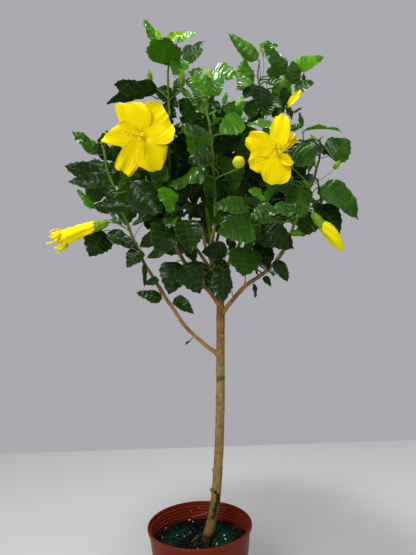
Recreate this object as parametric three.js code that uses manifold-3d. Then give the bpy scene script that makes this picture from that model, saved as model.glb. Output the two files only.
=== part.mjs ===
// A hibiscus grown as a standard: one clear woody stem that carries a round, open head of leaves,
// planted in a round plastic nursery pot.
// Millimetres, +Z up. The origin is the centre of the pot's flat underside, and +Y is the plant's back.
import * as THREE from "three";
import { mergeVertices } from "three/addons/utils/BufferGeometryUtils.js";
import Module from "manifold-3d";

const wasm = await Module();
wasm.setup();

// ---- Driving dimensions ----
const POT_HEIGHT = 185;
const POT_RIM_RADIUS = 100;
const POT_BASE_RADIUS = 74;
const POT_WALL = 1.8;
const LIP_DEPTH = 7; // height of the rolled lip round the mouth
const LIP_OVERHANG = 2.5;
const LIP_ROUNDING = 1.2;
const FOOT_CHAMFER = 3;
const DRAIN_HOLES = 6;
const DRAIN_RADIUS = 7;
const DRAIN_SIDES = 8;
const DRAIN_CIRCLE = 50; // drain holes sit on a circle of this radius, clear of the middle of the floor
const POT_SIDES = 26;

const SOIL_TOP = 152;
const SOIL_CROWN = 4; // the soil is heaped this much towards the stem

const STEM_FOOT_RADIUS = 9.6;
const STEM_TOP_RADIUS = 8.3;
const ROOT_FLARE = 4.5; // extra radius where the stem meets the soil
const FLARE_HEIGHT = 14;
const STEM_SIDES = 10;
const BOUGH_SIDES = 6;

const GAP = 0.3; // clearance between neighbouring solids
const LEAF_GAP = 0.45; // the same between masses of leaves, measured outward from their centres
const LUMP = 0.11; // height of each soft wave over a leaf mass, as a part of its radius
const WAVE_COUNT = 4;
const WAVE_LEAST = 2.5; // radians of a wave across one radius of the mass, at the least and at the most
const WAVE_MOST = 5;
const TIP_SPREAD = 0.42; // half-width, in radians, of the leafy point round each leaf tip
const STEM_STRIDE = 38; // distance between the rings of vertices along the stem
const BOUGH_STRIDE = 44; // the same along a bough
const MASS_DETAIL = 3; // how often the faces of the ball behind each leaf mass are divided

const COLOURS = {
  pot: { color: 0x8c3a24, roughness: 0.42, metalness: 0 },
  soil: { color: 0x2e3a2c, roughness: 0.95, metalness: 0 },
  stem: { color: 0x9a7a4a, roughness: 0.75, metalness: 0 },
  bough: { color: 0x8a5f38, roughness: 0.72, metalness: 0 },
  leaves: { color: 0x1e4a1c, roughness: 0.35, metalness: 0 },
};

// ---- Solids and meshes ----

// The closed solid of a three.js geometry, with its shared vertices merged by position.
function solidOf(geometry) {
  const bare = geometry.clone();
  bare.deleteAttribute("normal");
  bare.deleteAttribute("uv");
  const merged = mergeVertices(bare, 1e-4);
  return new wasm.Manifold(new wasm.Mesh({
    numProp: 3,
    vertProperties: new Float32Array(merged.attributes.position.array),
    triVerts: new Uint32Array(merged.index.array),
  }));
}

// The three.js geometry of a solid. Crumbs that a cut leaves behind are dropped.
function geometryOf(solid) {
  const pieces = solid.decompose().sort((a, b) => b.volume() - a.volume());
  const mesh = pieces[0].getMesh();
  const geometry = new THREE.BufferGeometry();
  geometry.setAttribute("position", new THREE.BufferAttribute(new Float32Array(mesh.vertProperties), 3));
  geometry.setIndex(new THREE.BufferAttribute(new Uint32Array(mesh.triVerts), 1));
  geometry.computeVertexNormals();
  return geometry;
}

function namedMesh(name, geometry, finish) {
  const mesh = new THREE.Mesh(geometry, new THREE.MeshStandardMaterial(finish));
  mesh.name = name;
  return mesh;
}

// A small repeatable source of random numbers, one for each leaf mass.
function seededRandom(seed) {
  let state = (seed * 2654435761) >>> 0;
  return () => {
    state = (Math.imul(state, 1664525) + 1013904223) >>> 0;
    return state / 4294967296;
  };
}

// ---- Pot and soil ----

// Outer radius of the pot's evenly tapering wall at a height.
function wallRadius(height) {
  return THREE.MathUtils.mapLinear(height, 0, POT_HEIGHT, POT_BASE_RADIUS, POT_RIM_RADIUS - LIP_OVERHANG);
}

// A point on the wall at a height, moved inward by a distance.
function wallPoint(height, inward) {
  return new THREE.Vector2(wallRadius(height) - inward, height);
}

// A closed section, given as radius and height, turned about the pot's upright axis.
function turned(section) {
  return new THREE.LatheGeometry(section, POT_SIDES).rotateX(Math.PI / 2);
}

function potGeometry() {
  const lipFoot = POT_HEIGHT - LIP_DEPTH;
  const outline = [
    new THREE.Vector2(0, 0),
    new THREE.Vector2(POT_BASE_RADIUS - FOOT_CHAMFER, 0),
    wallPoint(FOOT_CHAMFER, 0),
    wallPoint(lipFoot, 0),
    new THREE.Vector2(POT_RIM_RADIUS - LIP_ROUNDING, lipFoot),
    new THREE.Vector2(POT_RIM_RADIUS, lipFoot + LIP_ROUNDING),
    new THREE.Vector2(POT_RIM_RADIUS, POT_HEIGHT - LIP_ROUNDING),
    new THREE.Vector2(POT_RIM_RADIUS - LIP_ROUNDING, POT_HEIGHT),
    wallPoint(POT_HEIGHT, POT_WALL),
    wallPoint(POT_WALL, POT_WALL),
    new THREE.Vector2(0, POT_WALL),
  ];
  let pot = solidOf(turned(outline));
  for (let i = 0; i < DRAIN_HOLES; i++) {
    const turn = (2 * Math.PI * (i + 0.5)) / DRAIN_HOLES;
    const hole = new THREE.CylinderGeometry(DRAIN_RADIUS, DRAIN_RADIUS, 4 * POT_WALL, DRAIN_SIDES);
    hole.rotateX(Math.PI / 2);
    hole.translate(DRAIN_CIRCLE * Math.cos(turn), DRAIN_CIRCLE * Math.sin(turn), 0);
    pot = pot.subtract(solidOf(hole));
  }
  return geometryOf(pot);
}

// Potting soil fills the pot up to SOIL_TOP and is heaped a little round the stem.
function soilGeometry() {
  const inward = POT_WALL + GAP;
  const heapRadius = 4 * STEM_FOOT_RADIUS;
  const outline = [
    new THREE.Vector2(0, POT_WALL + GAP),
    wallPoint(POT_WALL + GAP, inward),
    wallPoint(SOIL_TOP - SOIL_CROWN, inward),
    new THREE.Vector2(heapRadius, SOIL_TOP),
    new THREE.Vector2(0, SOIL_TOP),
  ];
  return turned(outline);
}

// ---- Limbs ----

// One tapering limb: a closed cylinder bent along a smooth curve. Its foot may flare, and grow adds to
// its radius and length so that the same limb can cut its own socket in a neighbour.
function limbGeometry({ path, foot, tip, sides = BOUGH_SIDES, stride = BOUGH_STRIDE, flare = 0 }, grow = 0) {
  const curve = new THREE.CatmullRomCurve3(path.map((point) => new THREE.Vector3(...point)));
  const length = curve.getLength();
  const steps = Math.max(3, Math.round(length / stride));
  const frames = curve.computeFrenetFrames(steps, false);
  const geometry = new THREE.CylinderGeometry(1, 1, 1, sides, steps);
  const position = geometry.attributes.position;
  const place = new THREE.Vector3();
  for (let i = 0; i < position.count; i++) {
    const step = Math.round((position.getY(i) + 0.5) * steps);
    const along = step / steps;
    const radius = THREE.MathUtils.lerp(foot, tip, along) + grow
      + flare * Math.exp((-along * length) / FLARE_HEIGHT);
    place.copy(curve.getPointAt(along));
    place.addScaledVector(frames.normals[step], position.getX(i) * radius);
    place.addScaledVector(frames.binormals[step], -position.getZ(i) * radius);
    if (step === steps) place.addScaledVector(frames.tangents[step], grow);
    position.setXYZ(i, place.x, place.y, place.z);
  }
  return geometry;
}

// A flat-topped block under a level, used to cut the stem off square at the soil.
function blockBelow(level) {
  const size = 4 * POT_RIM_RADIUS;
  const block = new THREE.BoxGeometry(size, size, size);
  block.translate(0, 0, level - size / 2);
  return block;
}

// The stem leans as it leaves the soil, then rises almost straight to the fork.
const STEM = {
  name: "trunk",
  path: [[3, -6, 132], [12, -4, 152], [27, -2, 200], [37, 0, 270], [47, 0, 405], [51, 0, 510], [55, 0, 606]],
  foot: STEM_FOOT_RADIUS,
  tip: STEM_TOP_RADIUS,
  sides: STEM_SIDES,
  stride: STEM_STRIDE,
};

// Each bough starts inside what carries it, where it is cut to fit, and ends inside a mass of leaves.
const BOUGHS = [
  {
    name: "leader",
    path: [[55, 0, 600], [50, 8, 640], [46, 18, 690], [40, 26, 745], [33, 40, 830], [42, 66, 920],
      [50, 84, 990]],
    foot: 7.2,
    tip: 3,
  },
  {
    name: "bough_low_left",
    path: [[50, 0, 503], [29, -6, 516], [-5, -18, 545], [-58, -36, 630], [-98, -47, 704], [-122, -54, 768],
      [-142, -58, 825], [-160, -58, 885], [-164, -54, 915]],
    foot: 4.4,
    tip: 2.4,
  },
  {
    name: "bough_left",
    path: [[54, 0, 598], [32, -8, 628], [6, -16, 657], [-22, -24, 697], [-36, -42, 760], [-37, -52, 830],
      [-33, -55, 970], [-36, -42, 1050], [-32, -34, 1082]],
    foot: 4.8,
    tip: 2.2,
  },
  {
    name: "bough_right",
    path: [[52, 0, 574], [68, -6, 597], [93, -16, 632], [113, -20, 641], [155, -30, 664], [176, -34, 695],
      [200, -38, 745], [214, -38, 785], [242, -36, 832], [258, -32, 880]],
    foot: 5.2,
    tip: 2.4,
  },
  {
    name: "bough_centre",
    path: [[52, 0, 628], [44, -12, 663], [33, -18, 700], [44, -30, 732], [51, -48, 770], [48, -62, 805],
      [49, -80, 890], [40, -86, 945], [42, -68, 1000]],
    foot: 4.4,
    tip: 2.2,
  },
  {
    name: "bough_front",
    path: [[34, -18, 696], [28, -20, 720], [21, -22, 747]],
    foot: 3.4,
    tip: 3.2,
  },
  {
    name: "bough_back_right",
    path: [[50, 8, 634], [78, 40, 690], [112, 62, 750], [148, 60, 840], [160, 34, 950], [155, 4, 1030],
      [148, -2, 1064]],
    foot: 4.6,
    tip: 2.2,
  },
  {
    name: "bough_back_left",
    path: [[50, 8, 644], [30, 44, 690], [-8, 86, 750], [-36, 120, 820], [-52, 145, 890]],
    foot: 4.4,
    tip: 2.6,
  },
  {
    name: "bough_back",
    path: [[45, 20, 704], [60, 70, 765], [74, 120, 812], [78, 170, 850]],
    foot: 4,
    tip: 2.4,
  },
];

// ---- Masses of leaves ----

// Each mass has the place of its middle, its half-sizes, and the tips of the leaves that reach
// furthest out of it. Earlier masses are cut into later ones where they meet.
const MASSES = [
  // the head's outline, from the top left round to the right and down
  { name: "foliage_top_left", at: [-25, -25, 1105], size: [36, 36, 40],
    tips: [[-80, -30, 1185], [25, -10, 1160], [40, -5, 1145]] },
  { name: "foliage_top_centre", at: [45, -62, 1015], size: [42, 36, 34],
    tips: [[100, -70, 1055], [5, -50, 1055]] },
  { name: "foliage_top_right_inner", at: [132, 0, 1080], size: [30, 34, 42],
    tips: [[90, -10, 1160]] },
  { name: "foliage_top_right", at: [200, -10, 1082], size: [46, 36, 32],
    tips: [[150, -20, 1130], [285, -10, 1100], [195, 0, 1140]] },
  { name: "foliage_right_shoulder", at: [192, -5, 1015], size: [46, 46, 42],
    tips: [[265, -10, 1045]] },
  { name: "foliage_right_upper", at: [252, -22, 912], size: [42, 46, 38],
    tips: [[300, -20, 940], [320, -35, 890], [235, -10, 980]] },
  { name: "foliage_right", at: [262, -32, 788], size: [44, 44, 38],
    tips: [[325, -45, 770], [305, -45, 740], [285, -60, 690]] },
  { name: "foliage_right_low", at: [178, -30, 716], size: [38, 46, 38],
    tips: [[210, -25, 700], [160, -20, 635]] },
  { name: "foliage_under_right", at: [120, -20, 672], size: [34, 44, 30],
    tips: [[125, -25, 610]] },
  { name: "foliage_fork", at: [58, -44, 655], size: [24, 34, 32],
    tips: [[55, -60, 606]] },
  { name: "foliage_under_left", at: [-30, -36, 680], size: [38, 38, 34],
    tips: [[-55, -40, 632], [10, -34, 642]] },
  { name: "foliage_low_inner", at: [-18, -52, 612], size: [17, 20, 17],
    tips: [[-15, -56, 582], [-58, -40, 632]] },
  { name: "foliage_low_left", at: [-80, -58, 640], size: [24, 30, 24],
    tips: [[-100, -65, 625], [-58, -60, 606]] },
  { name: "foliage_left_bottom", at: [-145, -60, 730], size: [42, 44, 34],
    tips: [[-265, -75, 725], [-198, -60, 718], [-120, -50, 675]] },
  { name: "foliage_left_mid", at: [-148, -50, 800], size: [38, 44, 30],
    tips: [[-220, -45, 830]] },
  { name: "foliage_left", at: [-168, -55, 866], size: [38, 44, 34],
    tips: [[-238, -60, 872], [-226, -60, 842]] },
  { name: "foliage_left_top", at: [-160, -40, 925], size: [32, 42, 30],
    tips: [[-226, -45, 947]] },
  { name: "foliage_upper_left", at: [-82, -42, 1012], size: [52, 38, 28],
    tips: [[-150, -60, 990], [-116, -40, 1052]] },
  // the front of the head
  { name: "foliage_front_top", at: [38, -95, 935], size: [52, 46, 42], tips: [[105, -112, 915]] },
  { name: "foliage_front", at: [35, -125, 845], size: [68, 56, 60], tips: [] },
  { name: "foliage_front_right", at: [110, -95, 765], size: [62, 54, 50], tips: [] },
  { name: "foliage_front_left", at: [-75, -88, 815], size: [54, 50, 54], tips: [] },
  { name: "foliage_front_low", at: [-28, -58, 748], size: [54, 48, 42], tips: [] },
  { name: "foliage_right_inner", at: [190, -60, 820], size: [50, 50, 50], tips: [] },
  // the middle and the back of the head
  { name: "foliage_middle_left", at: [-50, -10, 925], size: [68, 66, 66], tips: [] },
  { name: "foliage_middle_right", at: [150, -20, 915], size: [62, 62, 66], tips: [] },
  { name: "foliage_middle", at: [45, 45, 870], size: [78, 72, 92], tips: [] },
  { name: "foliage_side_left", at: [-118, 70, 860], size: [60, 62, 78], tips: [] },
  { name: "foliage_side_right", at: [205, 70, 850], size: [62, 62, 80], tips: [] },
  { name: "foliage_back_top", at: [50, 90, 1010], size: [80, 62, 66], tips: [[30, 110, 1110]] },
  { name: "foliage_back_left", at: [-55, 155, 925], size: [74, 62, 76], tips: [[-110, 195, 985]] },
  { name: "foliage_back_right", at: [148, 145, 925], size: [80, 68, 80], tips: [[225, 190, 980]] },
  { name: "foliage_back_low_left", at: [-35, 140, 790], size: [70, 62, 62], tips: [[-95, 190, 745]] },
  { name: "foliage_back_low_right", at: [135, 135, 790], size: [70, 62, 62], tips: [[200, 180, 745]] },
  { name: "foliage_back", at: [50, 208, 860], size: [76, 60, 86], tips: [[50, 285, 880]] },
];

// One uneven closed mass: a ball scaled to the mass's half-sizes, swollen and dented by a few soft
// waves, and drawn out to a point at each leaf tip.
function massGeometry({ at, size, tips }, seed, grow = 0) {
  const random = seededRandom(seed);
  const waves = Array.from({ length: WAVE_COUNT }, () => ({
    push: new THREE.Vector3(random() - 0.5, random() - 0.5, random() - 0.5)
      .setLength(THREE.MathUtils.lerp(WAVE_LEAST, WAVE_MOST, random())),
    phase: 2 * Math.PI * random(),
  }));
  const bare = new THREE.OctahedronGeometry(1, MASS_DETAIL);
  bare.deleteAttribute("normal");
  bare.deleteAttribute("uv");
  const geometry = mergeVertices(bare, 1e-4);
  const position = geometry.attributes.position;
  const places = [];
  for (let i = 0; i < position.count; i++) {
    const place = new THREE.Vector3().fromBufferAttribute(position, i);
    const swell = waves.reduce((sum, wave) => sum + Math.sin(place.dot(wave.push) + wave.phase), 0);
    place.multiply(new THREE.Vector3(...size)).multiplyScalar(1 + LUMP * swell);
    places.push(place);
  }
  const reaches = tips.map((tip) => new THREE.Vector3(...tip).sub(new THREE.Vector3(...at)));
  reaches.sort((a, b) => a.length() - b.length());
  for (const reach of reaches) {
    const nearest = places.reduce((best, place) =>
      (place.angleTo(reach) < best.angleTo(reach) ? place : best));
    for (const place of places) {
      const pull = Math.exp(-((place.angleTo(reach) / TIP_SPREAD) ** 2));
      const longer = Math.max(place.length(), THREE.MathUtils.lerp(place.length(), reach.length(), pull));
      place.setLength(longer);
    }
    nearest.copy(reach);
  }
  places.forEach((place, i) => {
    place.setLength(place.length() + grow).add(new THREE.Vector3(...at));
    position.setXYZ(i, place.x, place.y, place.z);
  });
  return geometry;
}

// ---- The plant ----

const plant = new THREE.Group();
plant.add(namedMesh("pot", potGeometry(), COLOURS.pot));
plant.add(namedMesh("soil", soilGeometry(), COLOURS.soil));

const wholeStem = solidOf(limbGeometry({ ...STEM, flare: ROOT_FLARE }));
const stem = wholeStem.subtract(solidOf(blockBelow(SOIL_TOP + GAP)));
plant.add(namedMesh(STEM.name, geometryOf(stem), COLOURS.stem));

// A bough is cut to fit the limbs made before it.
const limbSockets = [solidOf(limbGeometry(STEM, GAP))];
for (const bough of BOUGHS) {
  let solid = solidOf(limbGeometry(bough));
  for (const socket of limbSockets) solid = solid.subtract(socket);
  plant.add(namedMesh(bough.name, geometryOf(solid), COLOURS.bough));
  limbSockets.push(solidOf(limbGeometry(bough, GAP)));
}

// A mass of leaves is cut round the limbs that enter it and beside the masses made before it.
const massSockets = [];
MASSES.forEach((mass, i) => {
  let solid = solidOf(massGeometry(mass, i + 1));
  for (const socket of [...limbSockets, ...massSockets]) solid = solid.subtract(socket);
  plant.add(namedMesh(mass.name, geometryOf(solid), COLOURS.leaves));
  massSockets.push(solidOf(massGeometry(mass, i + 1, LEAF_GAP)));
});

export default plant;
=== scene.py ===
"""A hibiscus grown as a standard: bark, leaves, flowers, pot and soil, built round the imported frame."""
import functools
import math

import bmesh
import bpy
import numpy as np
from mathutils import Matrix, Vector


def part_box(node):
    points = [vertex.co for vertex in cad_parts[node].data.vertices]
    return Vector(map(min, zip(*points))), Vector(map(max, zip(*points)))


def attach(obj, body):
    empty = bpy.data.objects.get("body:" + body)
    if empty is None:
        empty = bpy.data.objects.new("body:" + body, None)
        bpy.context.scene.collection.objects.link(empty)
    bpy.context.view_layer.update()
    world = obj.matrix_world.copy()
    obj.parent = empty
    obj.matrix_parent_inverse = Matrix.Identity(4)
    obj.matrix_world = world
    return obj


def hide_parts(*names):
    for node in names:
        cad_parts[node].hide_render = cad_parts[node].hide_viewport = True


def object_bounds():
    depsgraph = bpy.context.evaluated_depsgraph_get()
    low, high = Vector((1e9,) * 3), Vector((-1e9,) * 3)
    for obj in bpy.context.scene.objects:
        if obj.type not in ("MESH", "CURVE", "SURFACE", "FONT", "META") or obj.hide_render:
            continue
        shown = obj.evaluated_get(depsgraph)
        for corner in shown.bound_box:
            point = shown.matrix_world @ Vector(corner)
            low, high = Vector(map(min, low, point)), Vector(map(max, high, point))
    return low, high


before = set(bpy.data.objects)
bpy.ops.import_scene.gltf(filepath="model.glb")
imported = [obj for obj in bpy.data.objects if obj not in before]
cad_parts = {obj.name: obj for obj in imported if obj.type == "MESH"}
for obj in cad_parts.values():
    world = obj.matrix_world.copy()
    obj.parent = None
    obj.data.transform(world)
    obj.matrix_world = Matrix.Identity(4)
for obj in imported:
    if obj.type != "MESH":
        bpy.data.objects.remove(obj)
CAD_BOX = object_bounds()

bl_info = {
    "name": "Potted Hibiscus Standard",
    "version": (1, 0, 0),
    "blender": (4, 5, 0),
    "location": "View3D > Sidebar > Hibiscus",
    "description": "Builds a hibiscus standard in a nursery pot: bark, shoots, leaves, flowers and soil",
    "category": "Add Mesh",
}

MM = 0.001
GOLDEN_TURN = math.pi * (3 - math.sqrt(5))  # the turn from each leaf on a shoot to the next
SEED = 23
SHARP = math.radians(75)  # faces that meet at more than this are shaded with a crease between them
UP = np.array([0, 0, 1.0])
FRONT = np.array([0, -1.0, 0])  # from the plant towards the viewer

# Each limb of the frame and the limb that carries it.
CARRIERS = {
    "trunk": None,
    "leader": "trunk",
    "bough_low_left": "trunk",
    "bough_right": "trunk",
    "bough_left": "trunk",
    "bough_centre": "leader",
    "bough_front": "bough_centre",
    "bough_back_right": "leader",
    "bough_back_left": "leader",
    "bough_back": "leader",
}
MASS_NAMES = sorted(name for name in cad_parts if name.startswith("foliage_"))

# The heights above the floor between which the stem's golden bark turns redder.
RED_FROM, RED_FULL = 0.44, 0.64

# The height in the head above which a limb's bark is still green, as a share of the head's height.
GREEN_HEIGHT = 0.2


# ---- Small helpers on arrays ----

def unit(vectors):
    """The vectors scaled to a length of 1."""
    return vectors / np.maximum(np.linalg.norm(vectors, axis=-1, keepdims=True), 1e-12)


def smooth(values, low, high):
    """0 below low, 1 above high, and the curve 3t^2 - 2t^3 between them."""
    share = np.clip((values - low) / (high - low), 0, 1)
    return share * share * (3 - 2 * share)


def ripple(points, wavelength, seed, waves=9):
    """A soft random field of about -1 to 1: the sum of sine waves in random directions, all of about
    one wavelength."""
    random = np.random.default_rng(seed)
    push = unit(random.normal(size=(waves, points.shape[-1])))
    push = push * random.uniform(0.75, 1.35, (waves, 1)) * 2 * math.pi / wavelength
    phase = random.uniform(0, 2 * math.pi, waves)
    return np.sin(points @ push.T + phase).sum(-1) / math.sqrt(waves)


def turns(count):
    """Angles evenly spaced round a circle, from 0."""
    return 2 * math.pi * np.arange(count) / count


def turned_away(turn, angle):
    """How far directions round a limb lie from one of them, as angles of 0 to pi."""
    return np.abs((turn - angle + math.pi) % (2 * math.pi) - math.pi)


def lengths_along(path):
    """The distance along a path to each of its points."""
    return np.concatenate([[0], np.cumsum(np.linalg.norm(np.diff(path, axis=0), axis=1))])


def stretched(values, count):
    """A row of numbers read off at count even steps."""
    return np.interp(np.linspace(0, 1, count), np.linspace(0, 1, len(values)), values)


def resampled(path, count):
    """A path as count points evenly spaced along its length."""
    along = lengths_along(path)
    places = np.linspace(0, along[-1], count)
    return np.stack([np.interp(places, along, path[:, axis]) for axis in range(3)], axis=1)


def eased(path, rounds):
    """A path with rounded corners: in each round every inner point moves half-way to the mean of its
    two neighbours."""
    for _ in range(rounds):
        path = np.concatenate([path[:1], (path[:-2] + 2 * path[1:-1] + path[2:]) / 4, path[-1:]])
    return path


def bowed(start, leave, arrive, end, count):
    """Cubic curves: each goes from start towards leave and comes to end from arrive, with the weights
    (1-t)^3, 3t(1-t)^2, 3t^2(1-t) and t^3. Takes arrays (k, 3) and gives (k, count, 3)."""
    t = np.linspace(0, 1, count)[None, :, None]
    start, leave, arrive, end = (np.asarray(point)[:, None] for point in (start, leave, arrive, end))
    return (1 - t) ** 3 * start + 3 * t * (1 - t) ** 2 * leave + 3 * t * t * (1 - t) * arrive + t ** 3 * end


def corner_points(node):
    """The corners of a frame node's triangles, as (triangles, 3, 3)."""
    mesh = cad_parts[node].data
    mesh.calc_loop_triangles()
    points = np.empty(len(mesh.vertices) * 3)
    mesh.vertices.foreach_get("co", points)
    corners = np.empty(len(mesh.loop_triangles) * 3, dtype=int)
    mesh.loop_triangles.foreach_get("vertices", corners)
    return points.reshape(-1, 3)[corners].reshape(-1, 3, 3)


def spot(node, share):
    """A place given as shares of a frame node's box, from its lowest corner to its highest."""
    low, high = (np.array(corner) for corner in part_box(node))
    return low + np.array(share) * (high - low)


def span(node, foot, end):
    """A bloom or bud that is given by shares of a frame node's box: its foot, its end, the way from the
    one to the other, and its length."""
    foot, end = spot(node, foot), spot(node, end)
    return foot, end, unit(end - foot), np.linalg.norm(end - foot)


# ---- Meshes from grids ----

def grid_faces(count, rows, columns, wrap=False):
    """The four-cornered faces of count grids of rows by columns points, stored one after another.
    wrap joins the last column to the first. A grid whose columns run anticlockwise as its rows rise
    faces outwards."""
    row, column = np.indices((rows - 1, columns if wrap else columns - 1))
    beside = (column + 1) % columns
    face = np.stack([
        row * columns + column,
        row * columns + beside,
        (row + 1) * columns + beside,
        (row + 1) * columns + column,
    ], axis=-1).reshape(-1, 4)
    starts = np.arange(count)[:, None, None] * rows * columns
    return (starts + face).reshape(-1, 4)


def cap_faces(count, rows, columns):
    """The two end faces of count wrapped grids: the first ring turned round, and the last ring."""
    first = np.arange(columns)[::-1]
    last = (rows - 1) * columns + np.arange(columns)
    starts = np.arange(count)[:, None] * rows * columns
    return np.concatenate([starts + first, starts + last])


class Model:
    """A mesh in the making: points with fields of numbers, and faces with the material each wears."""

    def __init__(self):
        self.points = []
        self.faces = []
        self.paints = []
        self.fields = []
        self.count = 0

    def add(self, points, faces, paints=0, **fields):
        """Adds points of any array shape and a list of face arrays. Each field has one value a point,
        or one value for all."""
        points = np.asarray(points).reshape(-1, 3)
        for block in faces:
            self.faces += (block + self.count).tolist()
        total = sum(len(block) for block in faces)
        self.paints.append(np.broadcast_to(paints, total))
        spread = {}
        for name, values in fields.items():
            values = np.asarray(values, dtype=float)
            width = (2,) if name == "map" else ()
            spread[name] = np.broadcast_to(values, (len(points),) + width) if values.ndim <= len(width) \
                else values.reshape((len(points),) + width)
        self.fields.append(spread)
        self.points.append(points)
        self.count += len(points)

    def shell(self, grids, paints=0, caps=True, **fields):
        """Adds bodies, an array (count, rows, columns, 3) or one of (rows, columns, 3), each closed round
        its columns, and closed at its two ends by caps."""
        grids = grids.reshape(-1, *grids.shape[-3:])
        size = grids.shape[:3]
        faces = [grid_faces(*size, wrap=True)]
        if caps:
            faces.append(cap_faces(*size))
        self.add(grids, faces, paints, **fields)

    def piece(self, name, materials, slot, replaces=(), weld=0, flat=False):
        """Makes the object, rides it on the root body and hides the frame nodes that it stands for."""
        mesh = bpy.data.meshes.new(name)
        mesh.from_pydata(np.concatenate(self.points), [], self.faces)
        mesh.polygons.foreach_set("material_index", np.concatenate(self.paints).astype(np.int32))
        for field in self.fields[0]:
            values = np.concatenate([fields[field] for fields in self.fields])
            if field == "map":
                corners = np.empty(len(mesh.loops), dtype=np.int32)
                mesh.loops.foreach_get("vertex_index", corners)
                layer = mesh.uv_layers.new(name="map")
                layer.data.foreach_set("uv", values[corners].ravel())
            else:
                attribute = mesh.attributes.new(field, "FLOAT", "POINT")
                attribute.data.foreach_set("value", values)
        for material in materials:
            mesh.materials.append(material)
        if weld:
            shape = bmesh.new()
            shape.from_mesh(mesh)
            bmesh.ops.remove_doubles(shape, verts=shape.verts, dist=weld)
            shape.to_mesh(mesh)
            shape.free()
        mesh.polygons.foreach_set("use_smooth", np.full(len(mesh.polygons), not flat))
        if not flat:
            mesh.set_sharp_from_angle(angle=SHARP)
        mesh.validate()
        mesh.update()
        made = bpy.data.objects.new(name, mesh)
        bpy.context.scene.collection.objects.link(made)
        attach(made, "root")
        if replaces:
            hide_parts(*replaces)


def rings_along(paths, sides):
    """For paths (k, n, 3), the unit directions of sides points round each path point. Each ring lies
    across the path, and starts at right angles to the world axis that the path runs along least."""
    tangent = unit(np.gradient(paths, axis=1))
    overall = np.abs(unit(paths[:, -1] - paths[:, 0]))
    axis = np.eye(3)[overall.argmin(axis=1)][:, None]
    across = unit(np.cross(tangent, axis))
    other = np.cross(tangent, across)
    turn = turns(sides)[:, None]
    return across[:, :, None] * np.cos(turn) + other[:, :, None] * np.sin(turn)


def tubes(paths, radii, sides):
    """Round tubes along paths (k, n, 3): the path's point plus the radius times each ring direction.
    radii is one number, (k, n) or (k, n, sides)."""
    radii = np.asarray(radii)
    radii = radii[..., None] if radii.ndim == 2 else radii
    return paths[:, :, None] + rings_along(paths, sides) * radii[..., None]


def add_tubes(model, paths, radii, sides, **fields):
    """Adds closed tubes, whose fields are given for each path point."""
    count, rows = paths.shape[:2]
    spread = {name: np.repeat(np.broadcast_to(value, (count, rows)).ravel(), sides)
              for name, value in fields.items()}
    model.shell(tubes(paths, radii, sides), **spread)


# ---- Materials ----

class Value:
    """A shader socket that takes part in arithmetic: each operator adds one Math node."""

    def __init__(self, paint, socket):
        self.paint = paint
        self.socket = socket

    def maths(self, operation, *others):
        """One Math node of this value and the others, in that order."""
        sockets = dict(enumerate((self, *others)))
        return self.paint.node("ShaderNodeMath", {"operation": operation}, sockets)

    def __add__(self, other):
        return self.maths("ADD", other)

    __radd__ = __add__

    def __mul__(self, other):
        return self.maths("MULTIPLY", other)

    __rmul__ = __mul__

    def __sub__(self, other):
        return self.maths("SUBTRACT", other)

    def __rsub__(self, other):
        return (self * -1).maths("ADD", other)

    def __abs__(self):
        return self.maths("ABSOLUTE")

    def part(self):
        """What is left over the last whole number."""
        return self.maths("FRACT")

    def step(self, low, high):
        """0 at low, 1 at high, and a smooth curve between."""
        return self.paint.node("ShaderNodeMapRange", {"interpolation_type": "SMOOTHSTEP"},
                               {"Value": self, "From Min": low, "From Max": high})


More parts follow.
